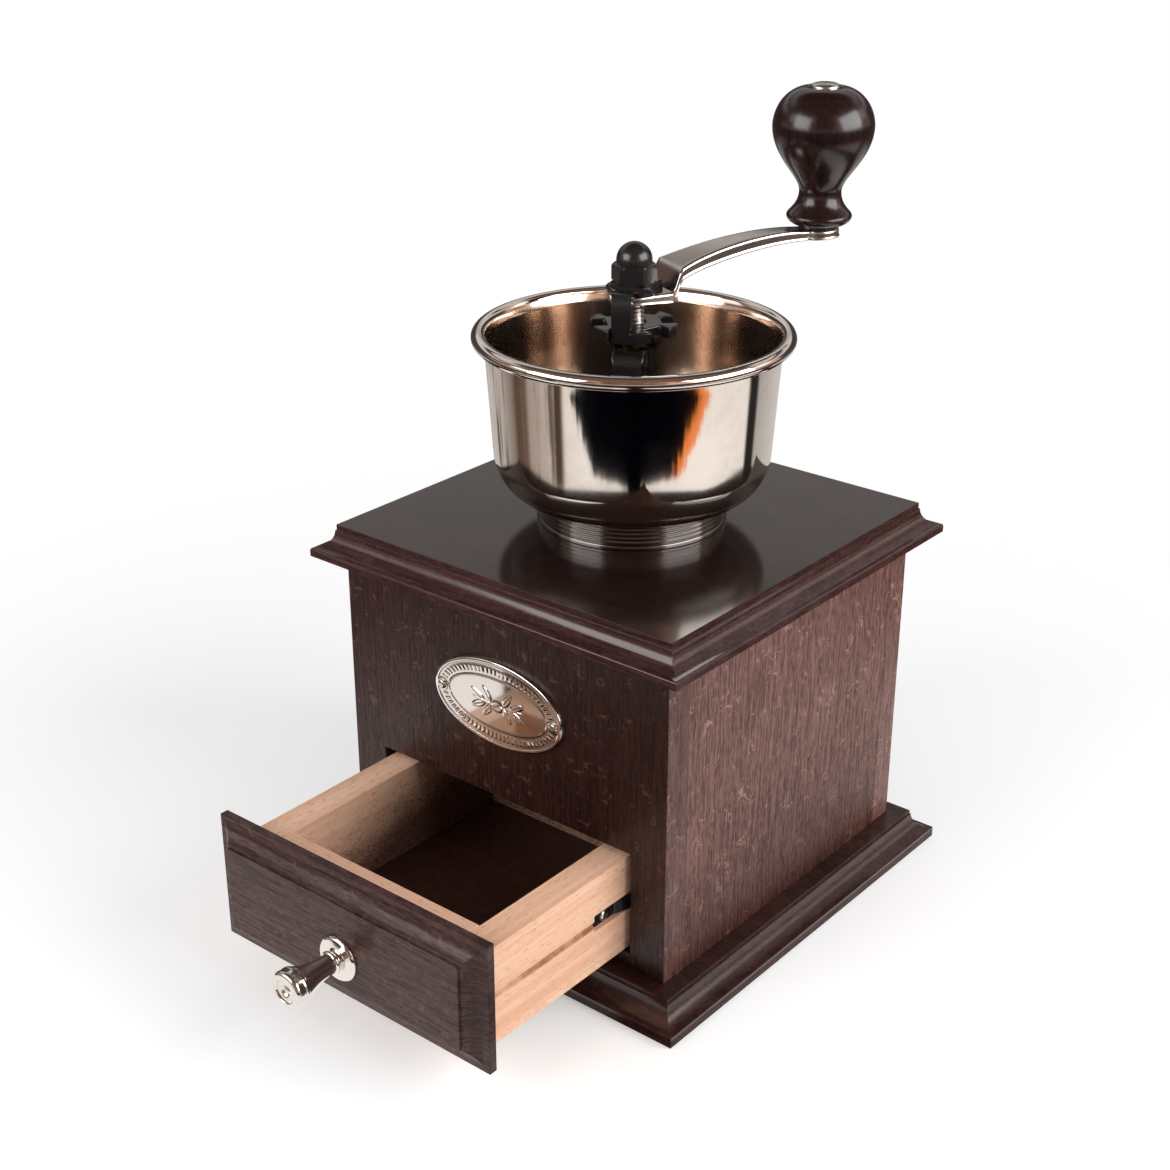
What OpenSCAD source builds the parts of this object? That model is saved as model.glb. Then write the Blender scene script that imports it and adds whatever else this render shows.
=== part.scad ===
// Box coffee mill: a wooden case with a drawer, an open metal hopper, a conical burr set and a hand crank.
// The origin is the centre of the underside. +Z is up, and the drawer slides out towards -Y.

/* [Case] */
// Outside width and depth of the box between the two plates
box_w = 105; // [98:1:118]
// Height of the four boards
box_h = 86.4; // [82:0.2:100]
// Thickness of the four boards
board_t = 8; // [6:0.5:9]
// Thickness of the base plate
base_t = 8.8; // [8:0.1:12]
// How far the base plate stands out past the box
base_over = 9.85; // [8:0.05:13]
// Thickness of the top plate
top_t = 8.6; // [8:0.1:12]
// How far the top plate stands out past the box
top_over = 6.75; // [6:0.05:10]
// Radius of the hollow moulding round both plates
cove_r = 4.75; // [3:0.05:5.2]
// Flat step between the moulding and the flat of a plate
cove_step = 0.3; // [0.1:0.1:0.8]
// Height of the square edge above the base plate's moulding
base_edge = 1.2; // [0.6:0.1:1.6]
// Height of the square edge above the top plate's moulding
top_edge = 1.6; // [0.6:0.1:2]

/* [Drawer] */
// Width of the front board on each side of the drawer opening
stile_w = 10.6; // [10:0.1:14]
// Height of the front board under the drawer opening
sill_h = 4.2; // [3.5:0.1:6]
// Height of the drawer opening
open_h = 29; // [24:0.5:34]
// How far the drawer stands open
drawer_open = 52.5; // [20:0.5:60]
// Thickness of the drawer's sides and back
side_t = 8.5; // [6.5:0.1:9]
// Thickness of the drawer's own front wall
inner_front_t = 9.4; // [6:0.1:12]
// Thickness of the drawer's bottom sheet
bottom_t = 1.6; // [1:0.1:3]
// Room between the drawer's side and the opening
side_gap = 1.9; // [1:0.1:2.5]
// Room above the drawer's sides
over_gap = 1.9; // [0.4:0.1:3]
// Room behind the closed drawer
back_gap = 5; // [2:0.5:10]
// Thickness of the drawer front
front_t = 6; // [5:0.1:8]
// Thickness of the drawer front's lip
front_lip = 2.3; // [1.8:0.1:3]
// Lap of the drawer front over the opening at the sides
lap_side = 2.6; // [1.5:0.1:5]
// Lap of the drawer front above the opening
lap_top = 4; // [2:0.1:6]
// Lap of the drawer front below the opening
lap_low = 2; // [1:0.1:3]
// Radius of the hollow round the drawer front's raised field
field_r = 6.5; // [5:0.1:8]
// Width of the border round the raised field
field_in = 5.9; // [5.6:0.1:7.5]
// Square edge of the raised field
field_edge = 0.7; // [0.4:0.1:1]

/* [Drawer knob] */
// Height of the drawer knob's centre above the base plate
pull_up = 16.4; // [14:0.1:20]
// Length of the drawer knob in front of its rosette
pull_len = 15.9; // [12:0.1:20]
// Radius of the drawer knob's end
pull_r = 5; // [4:0.1:6.5]
// Radius of the rosette
rosette_r = 6; // [5.5:0.1:8]
// Thickness of the rosette
rosette_t = 1.6; // [1:0.1:2.5]
// Radius of the knob's screw
pull_screw_r = 2; // [1.5:0.1:2.2]

/* [Drawer springs] */
// Length of the recess for the leaf spring
recess_len = 38; // [34:1:40]
// Height of the recess
recess_h = 4.5; // [4:0.1:6]
// Depth of the recess
recess_d = 1.4; // [1.2:0.1:2.4]
// Height of the recess's middle above the drawer's bottom sheet
recess_up = 12.1; // [8:0.1:16]
// Height of the leaf spring's strip
leaf_h = 3.5; // [2.5:0.1:3.8]
// Thickness of the leaf spring
leaf_t = 0.5; // [0.3:0.1:0.8]
// Length of the leaf spring's flat foot
leaf_foot = 8; // [6:0.5:9]
// Width of the line scribed along the drawer's sides
scribe_w = 1.2; // [0.6:0.1:2]
// Depth of the scribed line
scribe_d = 0.6; // [0.3:0.1:1]

/* [Hopper] */
// Height of the bowl's collar above the top plate
collar_h = 6.5; // [5:0.1:9]
// Outer radius of the collar
collar_r = 24.7; // [24.5:0.1:26]
// Thickness of the collar's wall
collar_t = 2.2; // [1.5:0.1:2.3]
// Thickness of the bowl's sheet
sheet_t = 1; // [0.6:0.1:1.5]
// Height from the bowl's underside to the middle of its rim
bowl_h = 42; // [38:0.5:50]
// Outer radius of the bowl's wall above its lower bend
bowl_low_r = 35.8; // [34:0.1:38]
// Outer radius of the bowl's wall at the rim
bowl_top_r = 37.7; // [36:0.1:40]
// Radius of the bowl's lower bend
bowl_bend = 12; // [9:0.1:12]
// Radius of the rolled rim's bead
bead_r = 1.75; // [1.2:0.05:2.2]
// Radius of the throat that the beans fall through
throat_r = 14; // [12:0.1:14.4]

/* [Upper bearing] */
// Direction of the arch across the bowl, in degrees from +X
arch_angle = -62; // [-180:1:180]
// Width of the arch's strap
arch_w = 8; // [7.4:0.1:9]
// Width of the arch's two legs between its crown and its feet
arch_leg_w = 5.4; // [4.6:0.1:7]
// Thickness of the arch's strap
arch_t = 1.8; // [1.2:0.1:2.4]
// Height of the arch's top above the bowl's floor
arch_h = 38.7; // [34:0.1:44]
// Half length of the arch's flat crown
crown_half = 8.6; // [7:0.1:10]
// Outer radius of the upper bush
bush_r = 3.6; // [3.5:0.1:3.6]
// Radius of the upper bush's flange
flange_r = 6.5; // [5:0.1:6.6]
// Thickness of the upper bush's flange
flange_t = 2.7; // [1.5:0.1:4]
// How far the upper bush hangs below the arch
bush_drop = 6; // [3:0.1:8]
// Distance of the arch's screws from the axis
screw_at = 20.2; // [20:0.1:20.4]
// Radius of the arch's screws
screw_r = 1.9; // [1.5:0.1:1.9]

/* [Mill] */
// Radius of the housing's flange under the top plate
house_flange_r = 26; // [25:0.1:30]
// Thickness of the housing's flange
house_flange_t = 4; // [3:0.1:6]
// Outer radius of the housing's barrel
barrel_r = 21; // [20.8:0.1:22]
// Height of the housing's barrel under its flange
barrel_h = 22.7; // [22:0.1:26]
// Outer radius of the housing's neck through the top plate
neck_r = 17.5; // [16.5:0.1:17.6]
// Outer radius of the outer burr
ring_r = 17.95; // [17.6:0.05:18.1]
// Height of the outer burr
ring_h = 16; // [14:0.1:17]
// Height of the burrs' fine teeth
fine_h = 5.5; // [4:0.1:7]
// Largest radius of the inner burr
burr_r = 15.2; // [14:0.1:15.3]
// How much the fine teeth narrow towards the top
fine_taper = 0.7; // [0.4:0.1:1]
// Height of the inner burr's coarse spiral
coarse_h = 14.5; // [12:0.1:18]
// Radius of the inner burr at its top
burr_top_r = 7.5; // [6.5:0.1:9]
// Gap between the two burrs
burr_gap = 0.45; // [0.3:0.05:0.8]
// How much the outer burr's mouth widens towards the top
mouth_flare = 1.25; // [0.6:0.05:1.5]
// Number of coarse spiral teeth on the inner burr
coarse_teeth = 7; // [5:1:9]
// Number of fine teeth on each burr
fine_teeth = 28; // [20:1:36]
// Twist of the coarse teeth
coarse_twist = 55; // [20:1:90]
// Twist of the fine teeth
fine_twist = 8; // [0:1:15]

/* [Shaft] */
// Radius of the shaft in its bushes
shaft_r = 3; // [2.6:0.05:3]
// Radius of the shaft's thick middle
shoulder_r = 5.2; // [4.8:0.1:5.8]
// Radius of the shaft's top in the crank
tip_r = 2.5; // [2:0.05:2.5]
// Length of the coil spring
spring_len = 22.4; // [16:0.1:28]
// Radius of the coil spring's wire
wire_r = 0.5; // [0.3:0.05:0.6]
// Number of turns of the coil spring
spring_turns = 7; // [4:1:8]
// Length of bare thread between the adjusting nut and the crank
thread_len = 6.5; // [4:0.1:9]

/* [Adjusting nut and cap nut] */
// Radius of the adjusting nut
star_r = 11; // [10.2:0.1:12]
// Thickness of the adjusting nut
star_t = 2.9; // [2:0.1:4]
// Number of notches in the adjusting nut
notches = 6; // [4:1:6]
// Width across the flats of the hexagon nuts
hex_af = 10; // [9:0.5:11]
// Height of the cap nut's hexagon
cap_hex_h = 4.6; // [3.5:0.1:6]
// Radius of the cap nut's dome
cap_r = 4.5; // [3.9:0.1:4.5]
// Height of the whole cap nut
cap_h = 10; // [9.2:0.1:12]
// Thickness of the locking strap
lock_t = 2.3; // [1.6:0.1:3]
// Half width of the locking strap's plate
lock_half = 6.3; // [5.8:0.1:6.5]
// Width of the locking strap's leg
lock_leg_w = 5.2; // [4:0.1:5.4]
// Direction of the locking strap's leg, in degrees from the crank
lock_angle = -139; // [-145:1:-90]

/* [Crank] */
// Distance from the shaft to the crank knob
crank_throw = 53.5; // [50:0.5:70]
// Direction of the crank, in degrees from +X
crank_angle = 66; // [-180:0.5:180]
// Thickness of the crank's sheet
arm_t = 1.3; // [1:0.1:1.6]
// Depth of the crank's turned-down edges
arm_side = 2.4; // [2.2:0.1:3]
// How much deeper the crank's turned-down edges are halfway along
arm_belly = 1; // [0:0.1:1.4]
// Radius of the crank's round end on the shaft
hub_r = 6.3; // [5.8:0.1:6.5]
// Half width of the crank at its step
arm_half = 6.6; // [6.4:0.1:7.6]
// Half width of the crank in front of the knob
neck_half = 3; // [2.6:0.1:4]
// Radius of the crank's eye under the knob
eye_r = 5.5; // [5:0.1:6.2]
// Rise of the crank's step beside the shaft
arm_step = 5.8; // [4:0.1:6.4]
// Rise of the crank's eye above its hub
arm_rise = 10.2; // [8:0.1:12]

/* [Crank knob] */
// Height of the crank knob
knob_h = 34.2; // [30:0.1:40]
// Largest radius of the crank knob
knob_r = 12.9; // [12:0.1:15]
// Radius of the crank knob's foot ring
knob_foot_r = 8.4; // [7.6:0.1:9]
// Radius of the crank knob's neck
knob_neck_r = 5.4; // [4.8:0.1:6.5]
// Radius of the pin that the knob turns on
pin_r = 2; // [1.5:0.05:2.4]
// Radius of the pin's head
pin_head_r = 3.7; // [3.2:0.1:4.2]

/* [Badge] */
// Half width of the oval badge
badge_a = 21; // [17:0.5:24]
// Half height of the oval badge
badge_b = 11.7; // [9:0.1:13]
// Thickness of the badge
badge_t = 1.3; // [0.8:0.1:2]
// Height of the badge's centre above the base plate
badge_up = 60.5; // [56:0.1:64]

/* [Fits] */
// Radial clearance of the turning fits
run_gap = 0.05; // [0.02:0.01:0.08]
// Radial clearance of screws, pins and pressed pieces in their holes
fit_gap = 0.05; // [0.02:0.01:0.1]
// Clearance between pieces that slide or turn past each other
slide_gap = 0.3; // [0.2:0.05:0.4]

/* [Hidden] */
$fn = 64;
over = 1;

// Heights, from the underside of the base plate
z_box = base_t;
z_top = z_box + box_h;
z_deck = z_top + top_t;
z_bowl = z_deck + collar_h;
z_floor = z_bowl + sheet_t;
z_rim = z_bowl + bowl_h;
z_arch = z_floor + arch_h;
z_flange = z_arch + flange_t;
z_star = z_flange + slide_gap;
z_hub = z_star + star_t + thread_len;
z_lock = z_hub + arm_t;
z_cap = z_lock + lock_t;
z_eye = z_lock + arm_rise;
z_barrel = z_top - house_flange_t - barrel_h;

// Case
box_half = box_w / 2;
inner_half = box_half - board_t;
base_screw_r = 1.6;
base_head_r = 3.4;
base_head_h = 2.2;
base_sunk = 0.6;
base_screw_len = 22;
base_screw_y = box_half * 0.6;

// Drawer
open_half = box_half - stile_w;
z_open = z_box + sill_h;
z_sheet = z_open + slide_gap;
z_side = z_sheet + bottom_t;
side_top = z_open + open_h - over_gap;
drawer_half = open_half - side_gap;
drawer_len = box_w - board_t - back_gap;
y_front = -box_half - drawer_open;
y_back = y_front + drawer_len;
front_half = open_half + lap_side;
front_low = z_open - lap_low;
front_high = z_open + open_h + lap_top;
guide_h = open_h * 0.6;

// Drawer springs
z_recess = z_side + recess_up;
y_recess = y_front + 41;
leaf_margin = 0.4;
leaf_span = recess_len - leaf_foot - 2 * leaf_margin;
leaf_foot_x = drawer_half - recess_d;
leaf_bow = open_half - slide_gap - leaf_foot_x - leaf_t;
leaf_r = (leaf_span * leaf_span / 4 + leaf_bow * leaf_bow) / (2 * leaf_bow);
rivet_r = 0.9;
rivet_head_r = 1.4;
rivet_head_t = 0.5;
rivet_len = 4;

// Drawer knob
z_pull = z_box + pull_up;
y_pull = y_front - front_t;
pull_neck_r = pull_r * 0.5;
pull_bead_r = pull_r * 0.62;
pull_head_r = 3.4;
pull_head_t = 2.2;
pull_thread = pull_len * 0.55;

// Hopper
bend_c = bowl_low_r - bowl_bend;
bead_c = bowl_top_r - sheet_t + bead_r + sheet_t * 0.6;
arc_steps = 12;

// Arch and its screws
foot_half = arch_w / 2;
foot_out = screw_at + 2.6;
foot_in = screw_at - 4.8;
screw_head_r = 3.1;
screw_head_h = 1.8;
bush_low = z_arch - arch_t - bush_drop;

// Mill
neck_hole_r = neck_r + slide_gap;
seat_r = ring_r + fit_gap;
z_ring = z_barrel + 3.5;
z_ring_top = z_ring + ring_h;
z_burr = z_ring + 0.5;
z_burr_top = z_burr + fine_h + coarse_h;
fine_top_r = burr_r - fine_taper;
fine_slope = fine_taper / fine_h;
ring_low_r = burr_r + fine_slope * (z_burr - z_ring) + burr_gap;
ring_waist_r = fine_top_r + burr_gap;
ring_fine_h = z_burr + fine_h - z_ring;
ring_mouth_r = ring_waist_r + mouth_flare;
tooth_d = 0.9;
burr_nut_h = 3.3;
bridge_w = 9;
bridge_t = 4.5;
bridge_screw_r = 1.2;
bridge_screw_at = (seat_r + barrel_r) / 2;
bridge_head_r = 2.4;
bridge_head_h = 1.6;
z_bridge = z_barrel - bridge_t;
lower_bush_r = shaft_r + 1.6;

// Shaft and spring
z_shaft = z_bridge - 2.5;
z_spring = bush_low - slide_gap - spring_len;
coil_r = shaft_r + 0.5 + wire_r;
wire_sides = 8;
coil_rings = 14;
z_tip = z_cap + cap_h * 0.7;

// Adjusting nut and locking strap
leg_in = star_r - 3.7;
leg_out = leg_in + 1.6;
notch_w = lock_leg_w + 0.4;
notch_in = leg_in - slide_gap;
lock_edge = 0.9;

// Crank
hub_flat = 7.5;
step_run = 2.8;
arm_steps = 16;
end_steps = 18;
eye_flat = crank_throw - eye_r;

// Crank knob and its pin
washer_t = 0.7;
washer_r = 5.2;
z_knob = z_eye + washer_t + slide_gap;
knob_bore = pin_r + run_gap;
head_well = 1.2;
pin_head_t = 2;
knob_steps = 8;

// Badge
badge_steps = 72;
badge_pin_at = badge_a * 0.88;
badge_pin_r = 0.9;
badge_pin_head = 1.3;
badge_pin_len = 5;
z_badge = z_box + badge_up;

oak = [0.24, 0.15, 0.13];
beech = [0.90, 0.72, 0.55];
nickel = [0.80, 0.77, 0.72];
enamel = [0.08, 0.08, 0.08];
iron = [0.33, 0.32, 0.31];
steel = [0.62, 0.62, 0.62];
bronze = [0.66, 0.50, 0.28];
lacquer = [0.22, 0.09, 0.08];

// Points along a circular arc, in the order of its angles
function arc(cx, cy, r, from, to, n) =
    [for (i = [0:n]) [cx + r * cos(from + (to - from) * i / n), cy + r * sin(from + (to - from) * i / n)]];

// Points along a cubic curve, without its last point
function bend(a, b, c, d, n) =
    [for (i = [0:n - 1]) let (t = i / n)
        a * pow(1 - t, 3) + 3 * b * t * pow(1 - t, 2) + 3 * c * t * t * (1 - t) + d * pow(t, 3)];

// A hole or shank along Z
module rod(r, low, high) {
    translate([0, 0, low]) cylinder(r = r, h = high - low);
}

// What two cross sections have in common when one runs along Y and the other along X
module crossed(size_x, size_y) {
    intersection() {
        rotate([90, 0, 0]) linear_extrude(height = size_y, center = true) children(0);
        rotate([90, 0, 90]) linear_extrude(height = size_x, center = true) children(1);
    }
}

// Cross section of a slab whose top edges carry a hollow of radius r and a small square step
module hollow_edge(half, thick, r, lip, step_in, step_h) {
    difference() {
        translate([-half, 0]) square([2 * half, thick]);
        for (side = [-1, 1]) {
            translate([side * half, lip + r]) circle(r = r);
            translate([side > 0 ? half - step_in : -half - over, thick - step_h])
                square([step_in + over, step_h + over]);
        }
    }
}

// A slab with the same moulded edge on all four sides
module moulded_slab(size_x, size_y, thick, r, lip, step_in, step_h) {
    crossed(size_x + 2 * over, size_y + 2 * over) {
        hollow_edge(size_x / 2, thick, r, lip, step_in, step_h);
        hollow_edge(size_y / 2, thick, r, lip, step_in, step_h);
    }
}

// ---------- Case ----------

module at_base_screws() {
    for (x = [-1, 1]) {
        for (y = [-1, 1]) {
            translate([x * (box_half - board_t / 2), y * base_screw_y, 0]) children();
        }
    }
}

module base_screw(gap) {
    rotate_extrude()
        polygon([[0, base_sunk], [base_head_r + gap, base_sunk], [base_screw_r + gap, base_sunk + base_head_h],
            [base_screw_r + gap, base_screw_len], [0, base_screw_len]]);
}

module base_plate() {
    size = box_w + 2 * base_over;
    color(oak)
    difference() {
        moulded_slab(size, size, base_t, cove_r, base_t - base_edge - cove_r, cove_r + cove_step, base_edge);
        at_base_screws() base_screw(fit_gap);
        at_base_screws() rod(base_head_r + fit_gap, -over, base_sunk + fit_gap);
    }
}

module base_screws() {
    color(steel) at_base_screws() base_screw(0);
}

module front_panel() {
    color(oak)
    difference() {
        translate([-box_half, -box_half, z_box]) cube([box_w, board_t, box_h]);
        translate([-open_half, -box_half - over, z_open]) cube([2 * open_half, board_t + 2 * over, open_h]);
        at_badge_pins() rod(badge_pin_r + fit_gap, -badge_pin_len - fit_gap, over);
    }
}

module back_panel() {
    color(oak)
    translate([-box_half, box_half - board_t, z_box]) cube([box_w, board_t, box_h]);
}

module side_panel(side) {
    color(oak)
    difference() {
        translate([side > 0 ? inner_half : -box_half, -inner_half, z_box]) cube([board_t, 2 * inner_half, box_h]);
        at_base_screws() base_screw(fit_gap);
    }
}

module left_panel() {
    side_panel(-1);
}

module right_panel() {
    side_panel(1);
}

module top_plate() {
    size = box_w + 2 * top_over;
    color(oak)
    difference() {
        translate([0, 0, z_top])
            moulded_slab(size, size, top_t, cove_r, top_t - top_edge - cove_r, cove_r + cove_step, top_edge);
        rod(neck_hole_r, z_top - over, z_deck + over);
        at_arch_screws() rod(screw_r + fit_gap, z_top - over, z_deck + over);
    }
}

// An L-shaped strip that carries the drawer and guides its side
module runner(side) {
    floor_in = drawer_half - side_t;
    color(beech)
    translate([0, 0, z_box]) mirror([side > 0 ? 0 : 1, 0, 0])
    rotate([90, 0, 0]) linear_extrude(height = 2 * inner_half, center = true)
        polygon([[floor_in, 0], [inner_half, 0], [inner_half, guide_h], [open_half, guide_h],
            [open_half, sill_h], [floor_in, sill_h]]);
}

module left_runner() {
    runner(-1);
}

module right_runner() {
    runner(1);
}

// ---------- Badge ----------

// Places its children on the front board, with Z pointing out of the board
module at_badge() {
    translate([0, -box_half, z_badge]) rotate([90, 0, 0]) children();
}

module at_badge_pins() {
    for (side = [-1, 1]) {
        at_badge() translate([side * badge_pin_at, 0, 0]) children();
    }
}

module badge() {
    color(nickel)
    difference() {
        at_badge()
        linear_extrude(height = badge_t)
            polygon([for (i = [0:badge_steps - 1])
                [badge_a * cos(i * 360 / badge_steps), badge_b * sin(i * 360 / badge_steps)]]);
        at_badge_pins() rod(badge_pin_r + fit_gap, -over, badge_t + over);
    }
}

module badge_pins() {
    color(steel)
    at_badge_pins() {
        rod(badge_pin_r, -badge_pin_len, badge_t);
        rod(badge_pin_head, badge_t, badge_t + badge_pin_head / 2);
    }
}

// ---------- Mill ----------

module at_arch_screws() {
    for (turn = [0, 180]) {
        rotate([0, 0, arch_angle + turn]) translate([screw_at, 0, 0]) children();
    }
}

module at_bridge_screws() {
    for (turn = [0, 180]) {
        rotate([0, 0, turn]) translate([bridge_screw_at, 0, 0]) children();
    }
}

module mill_housing() {
    color(iron)
    difference() {
        rotate_extrude()
            polygon([[throat_r, z_bowl], [throat_r, z_top], [ring_mouth_r, z_ring_top + fit_gap],
                [seat_r, z_ring_top + fit_gap], [seat_r, z_barrel], [barrel_r, z_barrel],
                [barrel_r, z_top - house_flange_t], [house_flange_r, z_top - house_flange_t],
                [house_flange_r, z_top], [neck_r, z_top], [neck_r, z_bowl]]);
        at_arch_screws() rod(screw_r + fit_gap, z_top - house_flange_t - over, z_top + over);
        at_bridge_screws() rod(bridge_screw_r + fit_gap, z_barrel - over, z_barrel + 2 * bridge_t);
    }
}

// Saw-toothed outline: the tips lie at radius r and the roots at radius root
function saw(r, root, n) =
    [for (i = [0:2 * n - 1]) let (a = 360 / n * (floor(i / 2) + (i % 2) * 0.75)) (i % 2 == 0 ? r : root) * [cos(a), sin(a)]];

// A cone or funnel with spiral teeth, from radius low to radius high
module toothed_cone(low, high, root, n, turn, h, steps) {
    linear_extrude(height = h, scale = high / low, twist = turn, slices = steps)
        polygon(saw(low, root, n));
}

module outer_burr() {
    color(iron)
    difference() {
        rod(ring_r, z_ring, z_ring_top);
        translate([0, 0, z_ring - 0.001])
            toothed_cone(ring_low_r, ring_waist_r, ring_low_r + tooth_d, fine_teeth, -fine_twist, ring_fine_h + 0.002, 3);
        translate([0, 0, z_ring + ring_fine_h])
            toothed_cone(ring_waist_r, ring_mouth_r, ring_waist_r + tooth_d, fine_teeth / 2, -coarse_twist / 2,
                ring_h - ring_fine_h + 0.001, 6);
    }
}

module inner_burr() {
    color(iron)
    difference() {
        union() {
            translate([0, 0, z_burr])
                toothed_cone(burr_r, fine_top_r, burr_r - tooth_d, fine_teeth, fine_twist, fine_h, 3);
            translate([0, 0, z_burr + fine_h])
                rotate([0, 0, -fine_twist])
                toothed_cone(fine_top_r, burr_top_r, fine_top_r * 0.72, coarse_teeth, coarse_twist, coarse_h, 14);
        }
        rod(shaft_r + fit_gap, z_burr - over, z_burr_top + over);
    }
}

module lower_bridge() {
    color(iron)
    difference() {
        union() {
            intersection() {
                translate([-barrel_r, -bridge_w / 2, z_bridge]) cube([2 * barrel_r, bridge_w, bridge_t]);
                rod(barrel_r - fit_gap, z_bridge - over, z_barrel + over);
            }
            rod(lower_bush_r + 2.5, z_bridge, z_barrel);
        }
        rod(lower_bush_r + fit_gap, z_bridge - over, z_barrel + over);
        at_bridge_screws() rod(bridge_screw_r + fit_gap, z_bridge - over, z_barrel + over);
    }
}

module lower_bush() {
    color(bronze)
    difference() {
        rod(lower_bush_r, z_bridge - 1, z_barrel);
        rod(shaft_r + run_gap, z_bridge - 1 - over, z_barrel + over);
    }
}

module lower_bridge_screws() {
    color(steel)
    at_bridge_screws() {
        rod(bridge_head_r, z_bridge - bridge_head_h, z_bridge);
        rod(bridge_screw_r, z_bridge - fit_gap, z_barrel + 1.5 * bridge_t);
    }
}

// ---------- Hopper ----------

module bowl_collar() {
    band = collar_h * 0.76;
    groove = 0.5;
    color(nickel)
    rotate_extrude()
        polygon([[collar_r - collar_t, z_deck], [collar_r - groove, z_deck], [collar_r, z_deck + groove],
            [collar_r, z_deck + band - groove], [collar_r - groove, z_deck + band],
            [collar_r - 2 * groove, z_deck + band + groove], [collar_r - groove, z_deck + band + 2 * groove],
            [collar_r - 2 * groove, z_bowl], [collar_r - collar_t, z_bowl]]);
}

module hopper_bowl() {
    inner_bend = bowl_bend - sheet_t;
    color(nickel)
    difference() {
        rotate_extrude() {
            polygon(concat(
                [[throat_r, z_bowl]],
                arc(bend_c, z_bowl + bowl_bend, bowl_bend, -90, 0, arc_steps),
                [[bowl_top_r, z_rim], [bowl_top_r - sheet_t, z_rim]],
                arc(bend_c, z_bowl + bowl_bend, inner_bend, 0, -90, arc_steps),
                [[throat_r, z_floor]]));
            polygon(concat(
                [[bowl_top_r - sheet_t, z_rim - bead_r / 2], [bowl_top_r - sheet_t, z_rim]],
                arc(bowl_top_r + bead_r - sheet_t, z_rim, bead_r, 180, 0, arc_steps),
                arc(bead_c, z_rim, bead_r, 0, -180, arc_steps)));
        }
        at_arch_screws() rod(screw_r + fit_gap, z_bowl - over, z_floor + over);
    }
}

// ---------- Upper bearing ----------

module bearing_arch() {
    foot_top = z_floor + arch_t;
    crown_low = z_arch - arch_t;
    slope = [crown_half - foot_in, z_arch - foot_top];
    side_step = arch_t * norm(slope) / slope[1];
    wide = arch_w / 2;
    slim = arch_leg_w / 2;
    plan = [[crown_half, wide], [crown_half + 1.5, slim], [foot_in - 1, slim],
        [foot_in, wide], [foot_out + over, wide]];
    last = len(plan) - 1;
    color(enamel)
    difference() {
        intersection() {
            translate([0, 0, z_floor - over]) rotate([0, 0, arch_angle])
            linear_extrude(height = arch_h + 2 * over)
                polygon(concat(plan, [for (i = [last:-1:0]) [plan[i][0], -plan[i][1]]],
                    -plan, [for (i = [last:-1:0]) [-plan[i][0], plan[i][1]]]));
            rotate([90, 0, arch_angle])
            linear_extrude(height = arch_w + over, center = true)
                polygon([[foot_out, z_floor], [foot_out, foot_top], [foot_in + side_step, foot_top],
                    [crown_half, z_arch], [-crown_half, z_arch], [-foot_in - side_step, foot_top],
                    [-foot_out, foot_top], [-foot_out, z_floor], [-foot_in, z_floor],
                    [-crown_half + side_step, crown_low], [crown_half - side_step, crown_low],
                    [foot_in, z_floor]]);
        }
        rod(bush_r + fit_gap, crown_low - over, z_arch + over);
        at_arch_screws() rod(screw_r + fit_gap, z_floor - over, foot_top + over);
    }
}

module upper_bush() {
    color(bronze)
    difference() {
        union() {
            rod(bush_r, bush_low, z_arch + fit_gap);
            rod(flange_r, z_arch, z_flange);
        }
        rod(shaft_r + run_gap, bush_low - over, z_flange + over);
    }
}

module arch_screws() {
    seat = z_floor + arch_t;
    color(steel)
    at_arch_screws() {
        rod(screw_r, z_top - house_flange_t, seat + fit_gap);
        rod(screw_head_r, seat, seat + screw_head_h);
    }
}

// ---------- Spindle ----------

module drive_shaft() {
    color(steel)
    rotate_extrude()
        polygon([[0, z_shaft], [shaft_r, z_shaft], [shaft_r, z_burr_top], [shoulder_r, z_burr_top],
            [shoulder_r, z_spring], [shaft_r, z_spring], [shaft_r, z_hub], [tip_r, z_hub],
            [tip_r, z_tip], [0, z_tip]]);
}

module hexagon(low, high) {
    translate([0, 0, low]) cylinder(r = hex_af / 2 / cos(30), h = high - low, $fn = 6);
}

module burr_nut() {
    color(steel)
    difference() {
        hexagon(z_burr - burr_nut_h, z_burr);
        rod(shaft_r + fit_gap, z_burr - burr_nut_h - over, z_burr + over);
    }
}

// A coil of round wire, swept ring by ring
module coil_spring() {
    rings = spring_turns * coil_rings;
    rise = spring_len - 2 * wire_r;
    points = [for (i = [0:rings], j = [0:wire_sides - 1]) let (
        a = i * 360 / coil_rings, b = j * 360 / wire_sides, r = coil_r + wire_r * cos(b))
        [r * cos(a), r * sin(a), z_spring + wire_r + rise * i / rings + wire_r * sin(b)]];
    ends = [[for (j = [0:wire_sides - 1]) j], [for (j = [wire_sides - 1:-1:0]) rings * wire_sides + j]];
    skin = [for (i = [0:rings - 1], j = [0:wire_sides - 1]) let (k = (j + 1) % wire_sides)
        [i * wire_sides + j, (i + 1) * wire_sides + j, (i + 1) * wire_sides + k, i * wire_sides + k]];
    color(steel) polyhedron(points = points, faces = concat(ends, skin));
}

module adjusting_nut() {
    color(enamel)
    difference() {
        rod(star_r, z_star, z_star + star_t);
        rod(shaft_r + fit_gap, z_star - over, z_star + star_t + over);
        for (i = [0:notches - 1]) {
            rotate([0, 0, crank_angle + lock_angle + i * 360 / notches])
            translate([notch_in, -notch_w / 2, z_star - over])
                cube([star_r, notch_w, star_t + 2 * over]);
        }
    }
}

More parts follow.
